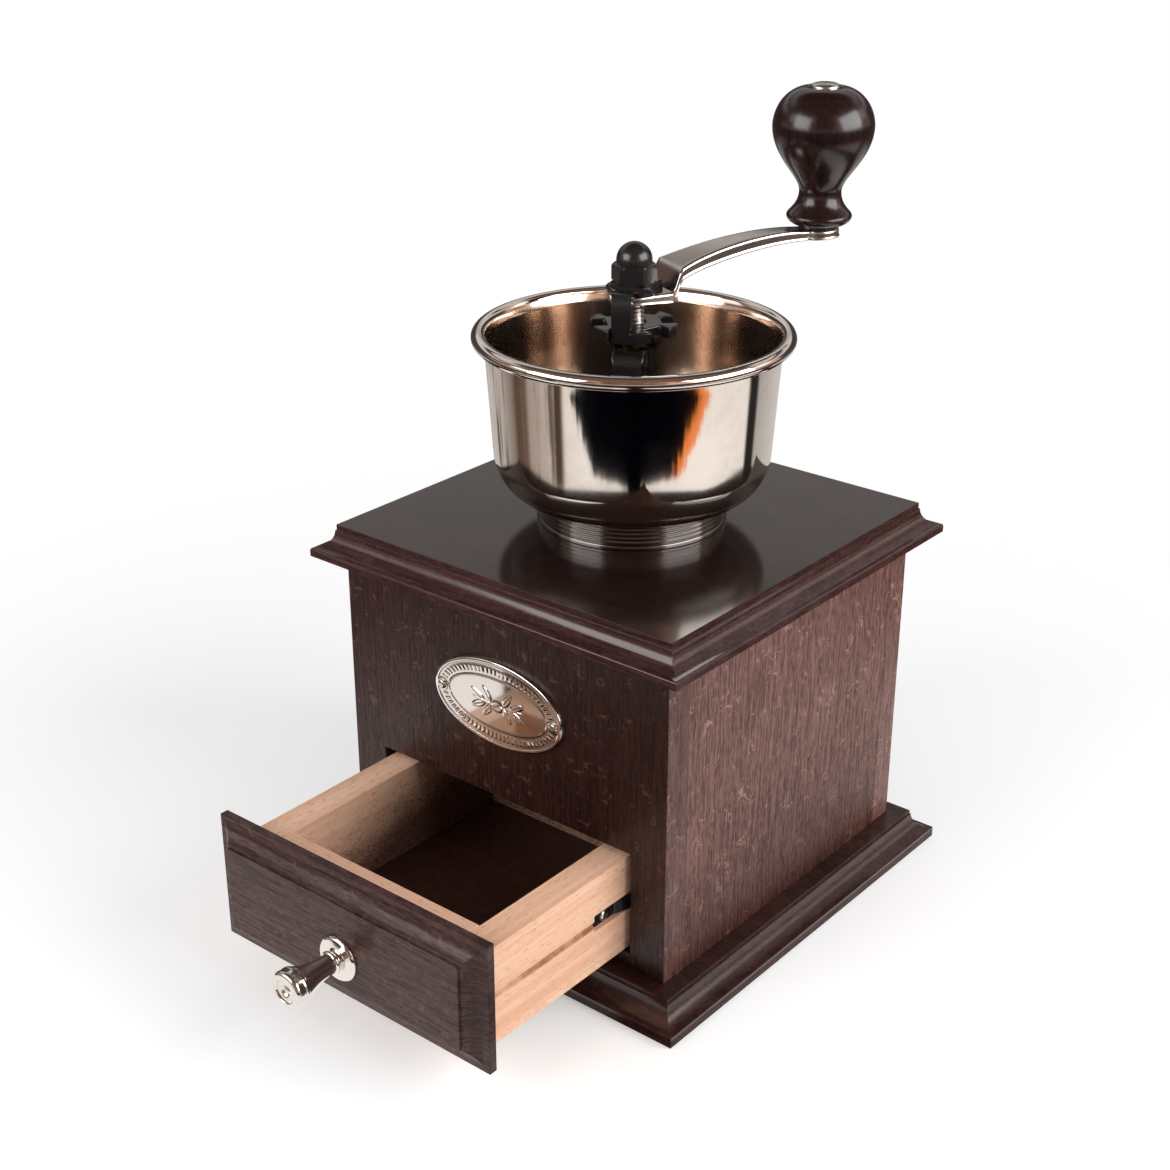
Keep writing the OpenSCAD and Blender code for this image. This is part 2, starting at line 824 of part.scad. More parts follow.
// Side view of the crank's top face, from its round end to past its eye
function arm_top() = concat(
    [[-hub_r - over, z_lock], [hub_flat, z_lock]],
    [for (i = [1:4]) let (t = i / 5) [hub_flat + step_run * t, z_lock + arm_step * t * t * (3 - 2 * t)]],
    bend([hub_flat + step_run, z_lock + arm_step], [crank_throw * 0.34, z_lock + arm_step + 2.8],
        [crank_throw * 0.64, z_eye + 1.5], [eye_flat, z_eye], arm_steps),
    [[eye_flat, z_eye], [crank_throw + eye_r + over, z_eye]]);

// Side view of a band of the crank, from one depth to another below its top face. A bellied band is deeper halfway.
module arm_band(high, low, high_belly = 0) {
    top = arm_top();
    last = len(top) - 1;
    polygon(concat(
        [for (p = top) p - [0, high + high_belly * sin(180 * max(0, min(1, p[0] / crank_throw)))]],
        [for (i = [last:-1:0]) top[i] - [0, low]]));
}

// Outline of the crank from above, taken in by a margin
module arm_outline(margin) {
    wide = arm_half - margin;
    step = hub_flat + step_run;
    neck = neck_half - margin;
    meet = asin(neck / (eye_r - margin));
    joint = crank_throw - (eye_r - margin) * cos(meet);
    flank = bend([step, wide], [step + 4.7, wide - 1.6], [crank_throw * 0.52, neck + 1], [joint, neck], arm_steps);
    last = len(flank) - 1;
    polygon(concat(
        arc(0, 0, hub_r - margin, 90, 270, end_steps),
        [[step / 2, -wide]],
        [for (p = flank) [p[0], -p[1]]],
        arc(crank_throw, 0, eye_r - margin, meet - 180, 180 - meet, end_steps),
        [for (i = [last:-1:0]) flank[i]],
        [[step / 2, wide]]));
}

// The crank is one pressed sheet: a top face with its edges turned down all round
module crank_arm() {
    tall = arm_rise + 4 * arm_side;
    color(nickel)
    difference() {
        translate([0, 0, z_hub - arm_side])
        rotate([0, 0, crank_angle])
        difference() {
            linear_extrude(height = tall) arm_outline(0);
            translate([0, 0, -z_hub + arm_side])
                rotate([90, 0, 0]) linear_extrude(height = 4 * arm_half, center = true) arm_band(-2 * tall, 0);
            translate([0, 0, -z_hub + arm_side])
                rotate([90, 0, 0]) linear_extrude(height = 4 * arm_half, center = true)
                arm_band(arm_side, 2 * tall, arm_belly);
            intersection() {
                linear_extrude(height = tall) arm_outline(arm_t);
                translate([0, 0, -z_hub + arm_side])
                    rotate([90, 0, 0]) linear_extrude(height = 4 * arm_half, center = true)
                    arm_band(arm_t, 2 * arm_side + arm_belly);
            }
        }
        rod(tip_r + fit_gap, z_hub - arm_side - over, z_lock + over);
        at_knob() rod(pin_r + fit_gap, z_eye - 2 * arm_side, z_eye + over);
    }
}

module locking_strap() {
    edge = [[-lock_half, 0], [lock_half, 0], [lock_half, lock_t - lock_edge],
        [lock_half - lock_edge, lock_t], [-lock_half + lock_edge, lock_t], [-lock_half, lock_t - lock_edge]];
    color(enamel)
    difference() {
        rotate([0, 0, crank_angle + lock_angle]) {
            intersection() {
                translate([0, 0, z_lock]) crossed(2 * lock_half + over, 2 * lock_half + over) {
                    polygon(edge);
                    polygon(edge);
                }
                rod(lock_half * 1.14, z_lock - over, z_cap + over);
            }
            translate([0, -lock_leg_w / 2, z_lock]) cube([leg_out, lock_leg_w, lock_t - lock_edge]);
            translate([leg_in, -lock_leg_w / 2, z_star - 0.8])
                cube([leg_out - leg_in, lock_leg_w, z_lock + lock_t - lock_edge - z_star + 0.8]);
        }
        rod(tip_r + fit_gap, z_lock - over, z_cap + over);
    }
}

module cap_nut() {
    dome_low = cap_h - cap_r;
    color(enamel)
    difference() {
        union() {
            hexagon(z_cap, z_cap + cap_hex_h);
            translate([0, 0, z_cap])
            rotate_extrude()
                polygon(concat([[0, 0], [cap_r, 0]], arc(0, dome_low, cap_r, 0, 90, arc_steps)));
        }
        rod(tip_r + fit_gap, z_cap - over, z_tip + fit_gap);
    }
}

// ---------- Crank knob ----------

module at_knob() {
    rotate([0, 0, crank_angle]) translate([crank_throw, 0, 0]) children();
}

module knob_washer() {
    color(enamel)
    at_knob()
    difference() {
        rod(washer_r, z_eye, z_eye + washer_t);
        rod(pin_r + fit_gap, z_eye - over, z_eye + washer_t + over);
    }
}

module knob_pin() {
    head_low = z_knob + knob_h - head_well + slide_gap;
    color(steel)
    at_knob()
    rotate_extrude()
        polygon(concat(
            [[0, z_eye - arm_t - 1], [pin_r + 0.9, z_eye - arm_t - 1], [pin_r + 0.9, z_eye - arm_t],
                [pin_r, z_eye - arm_t], [pin_r, head_low], [pin_head_r, head_low]],
            [for (i = [1:5]) [pin_head_r * cos(i * 18), head_low + 1 + (pin_head_t - 1) * sin(i * 18)]]));
}

// Side of the turned knob, from its underside up to the well for the pin's head
function knob_side() = concat(
    [[knob_foot_r * 0.82, 0]],
    bend([knob_foot_r * 0.84, knob_h * 0.004], [knob_foot_r * 0.92, knob_h * 0.012],
        [knob_foot_r * 0.98, knob_h * 0.03], [knob_foot_r, knob_h * 0.053], 4),
    bend([knob_foot_r, knob_h * 0.053], [knob_foot_r * 1.01, knob_h * 0.07],
        [knob_foot_r * 0.93, knob_h * 0.086], [knob_foot_r * 0.88, knob_h * 0.1], 4),
    bend([knob_foot_r * 0.88, knob_h * 0.1], [knob_foot_r * 0.76, knob_h * 0.135],
        [knob_neck_r, knob_h * 0.17], [knob_neck_r, knob_h * 0.243], knob_steps),
    bend([knob_neck_r, knob_h * 0.243], [knob_neck_r * 1.03, knob_h * 0.355],
        [knob_r, knob_h * 0.49], [knob_r, knob_h * 0.725], knob_steps),
    bend([knob_r, knob_h * 0.725], [knob_r * 0.98, knob_h * 0.875],
        [knob_r * 0.7, knob_h * 0.99], [pin_head_r + 1.2, knob_h], knob_steps),
    [[pin_head_r + 1.2, knob_h], [pin_head_r + slide_gap, knob_h - slide_gap],
        [pin_head_r + slide_gap, knob_h - head_well], [knob_bore, knob_h - head_well], [knob_bore, 0]]);

module crank_knob() {
    color(lacquer)
    at_knob() translate([0, 0, z_knob])
    rotate_extrude() polygon(knob_side());
}

// ---------- Drawer ----------

module drawer_front() {
    high = front_high - front_low;
    color(oak)
    difference() {
        translate([0, y_front, (front_high + front_low) / 2]) rotate([90, 0, 0])
            moulded_slab(2 * front_half, high, front_t, field_r, front_lip, field_in, field_edge);
        at_pull() rod(pull_screw_r + fit_gap, -over, 2 * front_t);
    }
}

// Places its children on the drawer front's back face, with Z pointing out of the drawer
module at_pull() {
    translate([0, y_front, z_pull]) rotate([90, 0, 0]) children();
}

module drawer_inner_front() {
    wide = drawer_half - side_t;
    color(beech)
    difference() {
        translate([-wide, y_front, z_side]) cube([2 * wide, inner_front_t, side_top - z_side]);
        at_pull() rod(pull_screw_r + fit_gap, -inner_front_t - over, over);
    }
}

module drawer_back() {
    wide = drawer_half - side_t;
    color(beech)
    translate([-wide, y_back - side_t, z_side]) cube([2 * wide, side_t, side_top - z_side]);
}

module drawer_bottom() {
    color(beech)
    translate([-drawer_half, y_front, z_sheet]) cube([2 * drawer_half, drawer_len, bottom_t]);
}

module drawer_side(side) {
    color(beech)
    mirror([side > 0 ? 0 : 1, 0, 0])
    difference() {
        translate([drawer_half - side_t, y_front, z_side]) cube([side_t, drawer_len, side_top - z_side]);
        translate([leaf_foot_x, y_recess, z_recess - recess_h / 2])
            cube([recess_d + over, recess_len, recess_h]);
        translate([drawer_half - scribe_d, y_front - over, z_recess - scribe_w / 2])
            cube([scribe_d + over, y_recess - y_front + 2 * over, scribe_w]);
        at_rivet() rod(rivet_r + fit_gap, -rivet_len - fit_gap, over);
    }
}

module drawer_left_side() {
    drawer_side(-1);
}

module drawer_right_side() {
    drawer_side(1);
}

// Places its children on the floor of the right recess, with Z pointing outwards
module at_rivet() {
    translate([leaf_foot_x, y_recess + leaf_margin + leaf_foot / 2, z_recess]) rotate([0, 90, 0]) children();
}

module leaf_spring(side) {
    y_leaf = y_recess + leaf_margin;
    y_mid = y_leaf + leaf_foot + leaf_span / 2;
    z_leaf = z_recess - leaf_h / 2;
    color(enamel)
    mirror([side > 0 ? 0 : 1, 0, 0])
    difference() {
        union() {
            translate([leaf_foot_x, y_leaf, z_leaf]) cube([leaf_t, leaf_foot + leaf_t, leaf_h]);
            intersection() {
                translate([leaf_foot_x + leaf_bow - leaf_r, y_mid, z_leaf])
                difference() {
                    cylinder(r = leaf_r + leaf_t, h = leaf_h);
                    translate([0, 0, -over]) cylinder(r = leaf_r, h = leaf_h + 2 * over);
                }
                translate([leaf_foot_x, y_leaf + leaf_foot, z_leaf])
                    cube([recess_d + 2 * leaf_bow, leaf_span, leaf_h]);
            }
        }
        at_rivet() rod(rivet_r + fit_gap, -over, leaf_t + over);
    }
}

module left_leaf_spring() {
    leaf_spring(-1);
}

module right_leaf_spring() {
    leaf_spring(1);
}

module spring_rivets() {
    color(nickel)
    for (side = [0, 1]) {
        mirror([side, 0, 0]) at_rivet() {
            rod(rivet_r, -rivet_len, leaf_t + fit_gap);
            rod(rivet_head_r, leaf_t, leaf_t + rivet_head_t);
        }
    }
}

module drawer_rosette() {
    color(nickel)
    difference() {
        at_pull() translate([0, 0, front_t])
        rotate_extrude()
            polygon([[pull_screw_r + fit_gap, 0], [rosette_r, 0], [rosette_r, rosette_t * 0.4],
                [rosette_r * 0.86, rosette_t * 0.8], [rosette_r * 0.6, rosette_t], [pull_screw_r + fit_gap, rosette_t]]);
    }
}

module drawer_knob() {
    cap_len = pull_len * 0.25;
    neck_len = pull_len * 0.15;
    color(nickel)
    difference() {
        at_pull() translate([0, 0, front_t + rosette_t])
        rotate_extrude()
            polygon(concat(
                [[0, 0], [pull_bead_r * 0.8, 0]],
                arc(pull_neck_r, neck_len / 2, pull_bead_r - pull_neck_r, -80, 80, 6),
                [[pull_neck_r, neck_len * 1.2]],
                bend([pull_neck_r, neck_len * 1.2], [pull_neck_r * 1.1, pull_len * 0.45],
                    [pull_r * 0.7, pull_len * 0.6], [pull_r * 0.92, pull_len - cap_len], 6),
                [[pull_r * 0.92, pull_len - cap_len], [pull_r, pull_len - cap_len * 0.9]],
                arc(pull_r - cap_len * 0.3, pull_len - cap_len * 0.3, cap_len * 0.3, 0, 90, 4),
                [[pull_r * 0.62, pull_len], [pull_r * 0.56, pull_len - 0.4], [pull_r * 0.3, pull_len - 0.4],
                    [pull_r * 0.16, pull_len - 0.9], [0, pull_len - 0.9]]));
        at_pull() rod(pull_screw_r + fit_gap, front_t, front_t + rosette_t + pull_thread + fit_gap);
    }
}

module drawer_knob_screw() {
    color(steel)
    at_pull() {
        rod(pull_screw_r, -inner_front_t - fit_gap, front_t + rosette_t + pull_thread);
        rod(pull_head_r, -inner_front_t - pull_head_t, -inner_front_t);
    }
}

base_plate();
front_panel();
back_panel();
left_panel();
right_panel();
top_plate();
left_runner();
right_runner();
base_screws();
badge();
badge_pins();
mill_housing();
outer_burr();
lower_bridge();
lower_bush();
lower_bridge_screws();
bowl_collar();
hopper_bowl();
bearing_arch();
upper_bush();
arch_screws();
drive_shaft();
inner_burr();
burr_nut();
coil_spring();
adjusting_nut();
crank_arm();
locking_strap();
cap_nut();
knob_washer();
knob_pin();
crank_knob();
drawer_front();
drawer_inner_front();
drawer_left_side();
drawer_right_side();
drawer_back();
drawer_bottom();
drawer_rosette();
drawer_knob();
drawer_knob_screw();
left_leaf_spring();
right_leaf_spring();
spring_rivets();
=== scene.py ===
import math

import bmesh
import bpy
import numpy as np
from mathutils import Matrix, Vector


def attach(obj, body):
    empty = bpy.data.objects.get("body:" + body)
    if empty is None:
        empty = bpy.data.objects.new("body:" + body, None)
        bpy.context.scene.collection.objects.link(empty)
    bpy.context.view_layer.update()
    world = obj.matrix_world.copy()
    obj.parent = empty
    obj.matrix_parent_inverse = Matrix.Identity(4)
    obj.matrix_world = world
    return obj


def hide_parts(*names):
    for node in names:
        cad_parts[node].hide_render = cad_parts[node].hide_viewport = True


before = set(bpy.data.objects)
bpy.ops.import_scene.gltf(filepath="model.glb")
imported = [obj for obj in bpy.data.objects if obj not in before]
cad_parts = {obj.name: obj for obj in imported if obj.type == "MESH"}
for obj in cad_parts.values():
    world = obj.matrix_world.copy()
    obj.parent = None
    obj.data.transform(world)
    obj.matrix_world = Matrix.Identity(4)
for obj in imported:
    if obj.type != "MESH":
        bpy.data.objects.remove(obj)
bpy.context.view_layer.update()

MM = 0.001


# ---- Room ----
# A product table: a long white sweep under an even pale sky, with one soft box on each side of the camera.
# The camera stands at the drawer's right-hand corner and looks down on the mill.
def dial(node, inputs):
    """Fills sockets of a node, each with a value or with another node's output."""
    for name, value in inputs.items():
        if isinstance(value, bpy.types.NodeSocket):
            node.id_data.links.new(value, node.inputs[name])
        else:
            node.inputs[name].default_value = value


def put(kind, inputs, tree=None, **choices):
    """Adds one shader node to a tree, or else to the tree that its inputs come from. choices sets its menus,
    and inputs gives each socket a value or another node's output."""
    tree = tree or next(value.id_data for value in inputs.values() if isinstance(value, bpy.types.NodeSocket))
    node = tree.nodes.new("ShaderNode" + kind)
    for name, value in choices.items():
        setattr(node, name, value)
    dial(node, inputs)
    return node


def calc(operation, a, b=0.5, clamp=False):
    """One step of arithmetic on two numbers, of which one or both are a node's output."""
    return put("Math", {0: a, 1: b}, operation=operation, use_clamp=clamp).outputs[0]


def times(product, *factors):
    """The product of two or more numbers, the first two of them as in calc."""
    for factor in factors:
        product = calc("MULTIPLY", product, factor)
    return product


def plus(a, b):
    """The sum of two numbers."""
    return calc("ADD", a, b)


def less(a, b):
    """The first number less the second."""
    return calc("SUBTRACT", a, b)


def between(value, low, high, start=0.0, end=1.0):
    """Carries a value from the range low..high smoothly over to start..end."""
    sockets = {"Value": value, "From Min": low, "From Max": high, "To Min": start, "To Max": end}
    return put("MapRange", sockets, interpolation_type="SMOOTHSTEP").outputs[0]


def band(value, rise, full, still, gone):
    """1 where a value lies between full and still, fading to 0 at rise below them and at gone above them."""
    return times(between(value, rise, full), between(value, gone, still))


def axes(vector):
    """The three numbers of a vector."""
    return put("SeparateXYZ", {0: vector}).outputs


def noise(where, scale, detail=2.0, roughness=0.5, shift=(0, 0, 0), twist=0.0):
    """Cloudy noise of 0 to 1. A scale of three numbers stretches it along the axes, after a shift."""
    if isinstance(scale, tuple):
        where, scale = put("Mapping", {"Vector": where, "Scale": scale, "Location": shift}).outputs[0], 1.0
    sockets = {"Vector": where, "Scale": scale, "Detail": detail, "Roughness": roughness, "Distortion": twist}
    return put("TexNoise", sockets).outputs["Fac"]


def tint(factor, a, b, mode="MIX"):
    """Lays colour b over colour a by a factor."""
    return put("Mix", {0: factor, 6: a, 7: b}, data_type="RGBA", blend_type=mode).outputs[2]


def blend(factor, a, b):
    """Goes from surface a to surface b by a factor."""
    return put("MixShader", {0: factor, 1: a, 2: b}).outputs[0]


def bearing(x, y):
    """The heading of a direction, as the angle from the camera's own, between -pi and pi and growing to its
    right."""
    turned = less(calc("ARCTAN2", x, times(y, -1.0)), CAMERA_TURN)
    return put("Math", {0: turned, 1: math.pi, 2: -math.pi}, operation="WRAP").outputs[0]


def round_room(turn, colours):
    """Colours laid round the room and blended from each bearing in degrees to the next, from -180 to 180."""
    node = put("ValToRGB", {"Fac": plus(times(turn, 0.5 / math.pi), 0.5)})
    scale = node.color_ramp.elements
    scale[0].color, scale[1].color = (*colours[0][1], 1), (*colours[-1][1], 1)
    for degrees, colour in colours[1:-1]:
        scale.new((degrees + 180) / 360).color = (*colour, 1)
    return node.outputs["Color"]


def bare_tree(owner):
    """The emptied node tree of a material or a world."""
    owner.use_nodes = True
    owner.node_tree.nodes.clear()
    return owner.node_tree


def add(name, data):
    """Puts a new object in the scene."""
    made = bpy.data.objects.new(name, data)
    bpy.context.scene.collection.objects.link(made)
    return made


EYE = Vector((0.28256, -0.36248, 0.29434))
AIM = Vector((-0.00940, -0.00774, 0.08321))
CAMERA_TURN = math.radians(39.455)
camera_data = bpy.data.cameras.new("camera")
camera_data.lens = 58.55
camera_data.sensor_width = 36
camera = add("camera", camera_data)
camera.location = EYE
camera.rotation_euler = (AIM - EYE).to_track_quat("-Z", "Y").to_euler()
bpy.context.scene.camera = camera
bpy.context.scene.view_settings.view_transform = "Standard"

FLOOR_HALF, FLOOR_Z = 6.0, -0.0001
floor_corners = [(x * FLOOR_HALF, y * FLOOR_HALF, FLOOR_Z) for x, y in ((-1, -1), (1, -1), (1, 1), (-1, 1))]
floor_mesh = bpy.data.meshes.new("floor")
floor_mesh.from_pydata(floor_corners, [], [(0, 1, 2, 3)])
floor = add("floor", floor_mesh)

# What shiny metal picks up from the table: white paper close by, the dark room beyond the camera with a strip
# of orange beside it, stands and flats that show as upright streaks to both sides, and painted shade in a dark
# band round the mill's foot
PAPER, BLACK, ORANGE = (1.04, 0.99, 0.95, 1), (0.001, 0.001, 0.002, 1), (1.0, 0.28, 0.06, 1)
STREAK, PAINTED_FOOT_SHADE, FAR_TABLE = (0.16, 0.115, 0.09, 1), (0.022, 0.014, 0.011, 1), (0.085, 0.062, 0.055, 1)
FLATS = [
    (-180, (0.66, 0.63, 0.60)), (-125, (0.50, 0.46, 0.43)), (-106, (0.26, 0.20, 0.165)),
    (-102, (0.11, 0.065, 0.05)), (-91, (0.17, 0.10, 0.08)), (-87, (0.40, 0.33, 0.29)),
    (-70, (0.56, 0.48, 0.43)), (-64, (0.66, 0.57, 0.51)), (-62, (0.07, 0.045, 0.035)),
    (-57, (0.10, 0.065, 0.045)), (-54, (0.88, 0.80, 0.74)), (-35, (1.0, 0.94, 0.89)),
    (60, (1.04, 0.98, 0.93)), (95.5, (1.0, 0.93, 0.88)), (98, (0.02, 0.018, 0.018)),
    (107, (0.03, 0.027, 0.027)), (110, (0.48, 0.445, 0.42)), (135, (0.60, 0.57, 0.54)),
    (180, (0.66, 0.63, 0.60))]
paint = bpy.data.materials.new("floor_white")
tree = bare_tree(paint)
ray = put("LightPath", {}, tree).outputs
place = put("TexCoord", {}, tree).outputs["Object"]
spot = axes(place)
turn = bearing(spot[0], spot[1])
away = put("VectorMath", {0: place}, operation="LENGTH").outputs["Value"]
streaks = put("CombineXYZ", {0: times(turn, 9.0), 1: times(away, 5.0)}).outputs[0]
streaks = times(between(noise(streaks, 1.0, 3.0, 0.6), 0.50, 0.66), between(turn, -0.9, -1.1))
flats = tint(streaks, round_room(turn, FLATS), STREAK)
table = tint(between(away, 0.235, 0.27), PAPER, flats)
# The dark room's edge wanders, and its half width in radians opens out with the distance
ragged = times(less(noise(place, 75.0, 4.0, 0.6), 0.5), 0.30)
rough_turn = plus(turn, ragged)
opening = {"Value": away, "From Min": 0.275, "From Max": 0.345, "To Min": 0.0, "To Max": 0.32}
spread = calc("MAXIMUM", put("MapRange", opening, clamp=False).outputs[0], 0.0)
limit = plus(between(away, 0.259, 0.272, 0.10, 0.56), spread)
strip_wide = between(away, 0.265, 0.31, 0.08, 0.15)
strip = between(less(less(rough_turn, limit), strip_wide), 0.02, -0.02)
strip = times(strip, between(turn, -0.02, 0.02), between(away, 0.262, 0.272))
table = tint(strip, table, ORANGE)
dark_room = between(less(calc("ABSOLUTE", rough_turn), limit), 0.03, -0.03)
table = tint(dark_room, table, BLACK)
# Painted shade: a dark band on the table round the mill's foot, seen only by shiny metal
painted_foot_end = less(between(calc("ABSOLUTE", turn), 0.9, 1.9, 0.2565, 0.290), away)
foot = times(between(painted_foot_end, -0.0013, 0.0013), between(away, 0.196, 0.204))
table = tint(foot, table, PAINTED_FOOT_SHADE)
table = tint(between(away, 0.40, 0.60), table, FAR_TABLE)
# The camera sees white paper that runs out into pure white, and light bounces off plain paper
lit = put("BsdfDiffuse", {"Color": (0.86, 0.86, 0.86, 1)}, tree).outputs[0]
lift = put("Emission", {"Color": (1, 1, 1, 1), "Strength": 0.30}, tree).outputs[0]
near = put("AddShader", {0: lit, 1: lift}).outputs[0]
far = put("Emission", {"Color": (1, 1, 1, 1), "Strength": 1.0}, tree).outputs[0]
seen = blend(between(away, 0.16, 0.34), near, far)
mirrored = put("Emission", {"Color": table}).outputs[0]
by_eye = blend(ray["Is Camera Ray"], lit, seen)
put("OutputMaterial", {"Surface": blend(ray["Is Glossy Ray"], by_eye, mirrored)})
floor_mesh.materials.append(paint)

# Shiny metal also picks up the room above the table. Behind the mill a pale backdrop rises high in two
# panels. Towards the camera the room is a dim brown over a bright table's edge, with a flat on each side at
# arm's height and warm upright bands, as of curtains, that a deep bowl gathers in. aim[2] is the sine of the
# height.
DIM, CURTAIN, CEILING = (0.17, 0.095, 0.070, 1), (0.85, 0.50, 0.34, 1), (0.17, 0.105, 0.078, 1)
SHADOW, TABLE_EDGE = (0.06, 0.05, 0.045, 1), (0.66, 0.54, 0.46, 1)
BACKDROP, SIDE_FLAT = (0.64, 0.59, 0.56, 1), (1.5, 1.35, 1.25, 1)
world = bpy.data.worlds.new("room")
bpy.context.scene.world = world
tree = bare_tree(world)
ray = put("LightPath", {}, tree).outputs
aim = axes(put("TexCoord", {}, tree).outputs["Generated"])
turn = bearing(aim[0], aim[1])
side_on = calc("ABSOLUTE", turn)
folds = put("CombineXYZ", {0: times(aim[0], 1.3), 1: times(aim[1], 1.3)}).outputs[0]
sky = tint(between(noise(folds, 1.0, 3.0, 0.6), 0.50, 0.60), DIM, CURTAIN)
sky = tint(between(aim[2], 0.60, 0.72), sky, CEILING)
sky = tint(between(side_on, 1.9, 2.3), sky, SHADOW)
low_edge = times(between(aim[2], 0.13, 0.07), between(side_on, 2.2, 1.7))
sky = tint(low_edge, sky, TABLE_EDGE)
panels = plus(band(aim[2], 0.26, 0.31, 0.40, 0.48), band(aim[2], 0.50, 0.55, 0.66, 0.74))
sky = tint(times(panels, between(side_on, 1.6, 2.2)), sky, BACKDROP)
side_flats = plus(band(turn, -1.75, -1.60, -1.42, -1.30), band(turn, 1.60, 1.72, 1.85, 2.00))
sky = tint(times(side_flats, band(aim[2], 0.16, 0.26, 0.42, 0.56)), sky, SIDE_FLAT)
even = put("Background", {"Color": (1, 1, 1, 1), "Strength": 0.40}, tree).outputs[0]
white = put("Background", {"Color": (1, 1, 1, 1), "Strength": 1.0}, tree).outputs[0]
studio = put("Background", {"Color": sky, "Strength": 1.0}, tree).outputs[0]
by_metal = blend(ray["Is Glossy Ray"], even, studio)
put("OutputWorld", {"Surface": blend(ray["Is Camera Ray"], by_metal, white)})

# Both soft boxes stand this high and this far away as seen from a point in the bowl
BOX_RISE, BOX_AWAY, BOX_AIM = math.radians(24), 0.95, Vector((0, 0, 0.11))


def soft_box(name, azimuth, wide, high, watts):
    """A soft box that stands round the mill at an azimuth from the camera's own, and faces the bowl."""
    turn = CAMERA_TURN + math.radians(azimuth)
    towards = Vector((math.sin(turn) * math.cos(BOX_RISE), -math.cos(turn) * math.cos(BOX_RISE),
                      math.sin(BOX_RISE)))
    data = bpy.data.lights.new(name, "AREA")
    data.shape = "RECTANGLE"
    data.size, data.size_y, data.energy = wide, high, watts
    light = add(name, data)
    light.location = towards * BOX_AWAY + BOX_AIM
    light.rotation_euler = (-towards).to_track_quat("-Z", "Y").to_euler()


soft_box("soft_box_right", 64, 0.86, 0.56, 7.6)
soft_box("soft_box_left", -58, 0.66, 0.50, 4.8)


# ---- Base plate ----
# A square oak plate with a hollow moulding run round its top edges, stained dark and lacquered satin.
# The box stands on it, and four countersunk screws go up through it into the side boards.
def srgb(red, green, blue):
    """A colour given as 0..255 display values, as the linear values that Blender takes."""
    shown = np.array([red, green, blue]) / 255
    linear = np.where(shown <= 0.04045, shown / 12.92, ((shown + 0.055) / 1.055) ** 2.4)
    return (*map(float, linear), 1.0)


def node_group(name, inputs, outputs):
    """An empty shader group. inputs gives the kind of each socket and its starting value, outputs the
    kind."""
    group = bpy.data.node_groups.new(name, "ShaderNodeTree")
    for label, (kind, start) in inputs.items():
        socket = group.interface.new_socket(label, in_out="INPUT", socket_type="NodeSocket" + kind)
        if start is not None:
            socket.default_value = start
    for label, kind in outputs.items():
        group.interface.new_socket(label, in_out="OUTPUT", socket_type="NodeSocket" + kind)
    return group, group.nodes.new("NodeGroupInput").outputs, group.nodes.new("NodeGroupOutput")


# Quarter-sawn oak. X runs across the growth rings and Z along the grain. The rings are narrow stripes,
# their pores are short dark dashes, and the rays are thin pale curls that cross them.
oak_grain, got, give = node_group("oak_grain", {
    "Vector": ("Vector", None), "Dark": ("Color", (0.02, 0.01, 0.01, 1)),
    "Light": ("Color", (0.1, 0.06, 0.05, 1)), "Ray": ("Color", (0.2, 0.12, 0.1, 1)),
    "Ray Share": ("Float", 0.5)},
    {"Color": "Color", "Roughness": "Float", "Height": "Float"})
slow = noise(got["Vector"], (30, 30, 9))
sway = put("CombineXYZ", {"X": times(less(slow, 0.5), 0.006)}).outputs[0]
bent = put("VectorMath", {0: got["Vector"], 1: sway}, operation="ADD").outputs[0]
rings = noise(bent, (1250, 170, 60), 3.0, 0.62)
ticks = noise(bent, (1700, 900, 420))
rings = between(plus(times(rings, 0.62), times(ticks, 0.38)), 0.38, 0.62)
pores = noise(bent, (3600, 1500, 260), 1.0)
pores = times(between(pores, 0.54, 0.66), less(1.0, rings))
curl = noise(bent, (230, 60, 250), twist=1.2)
curl = between(calc("ABSOLUTE", less(curl, 0.5)), 0.032, 0.010)
broken = noise(bent, (250, 90, 200), shift=(3.1, 1.7, 0.4))
rays = times(curl, between(broken, 0.55, 0.61), got["Ray Share"])
tone = plus(times(rings, 0.78), times(between(slow, 0.30, 0.70), 0.22))
wood = tint(tone, got["Dark"], got["Light"])
wood = tint(times(pores, 0.75), wood, got["Dark"])
wood = tint(rays, wood, got["Ray"])
dial(give, {
    "Color": wood, "Roughness": plus(times(pores, 0.25), times(tone, -0.08)),
    "Height": plus(less(times(rings, 0.45), pores), times(rays, 0.35))})

# Turns that lay the pattern's Z along a board: upright, upright on a side board, from side to side, front to
# back
GRAIN_UP, GRAIN_UP_SIDE = (0, 0, 0), (0, 0, math.pi / 2)
GRAIN_ACROSS, GRAIN_BACK = (0, math.pi / 2, 0), (math.pi / 2, 0, 0)
# The tint that painted shade multiplies into a board's colour
PAINTED_SHADE_TINT = (0.40, 0.29, 0.25, 1)


def material(name):
    """A new material with its Principled shader and the Object coordinates that its pattern reads."""
    made = bpy.data.materials.new(name)
    made.use_nodes = True
    where = put("TexCoord", {}, made.node_tree).outputs["Object"]
    return made, made.node_tree.nodes["Principled BSDF"], where


def emboss(shader, height, depth):
    """Turns a height of 0 to 1 into a bump of that depth in metres."""
    bump = put("Bump", {"Height": height, "Distance": depth, "Strength": 1.0})
    dial(shader, {"Normal": bump.outputs["Normal"]})


def metal(shader, colour, rough, height, depth):
    """Bare or plated metal: its colour, its roughness, and a height with its depth in metres for the finest
    marks."""
    dial(shader, {"Base Color": colour, "Roughness": rough, "Metallic": 1.0})
    emboss(shader, height, depth)


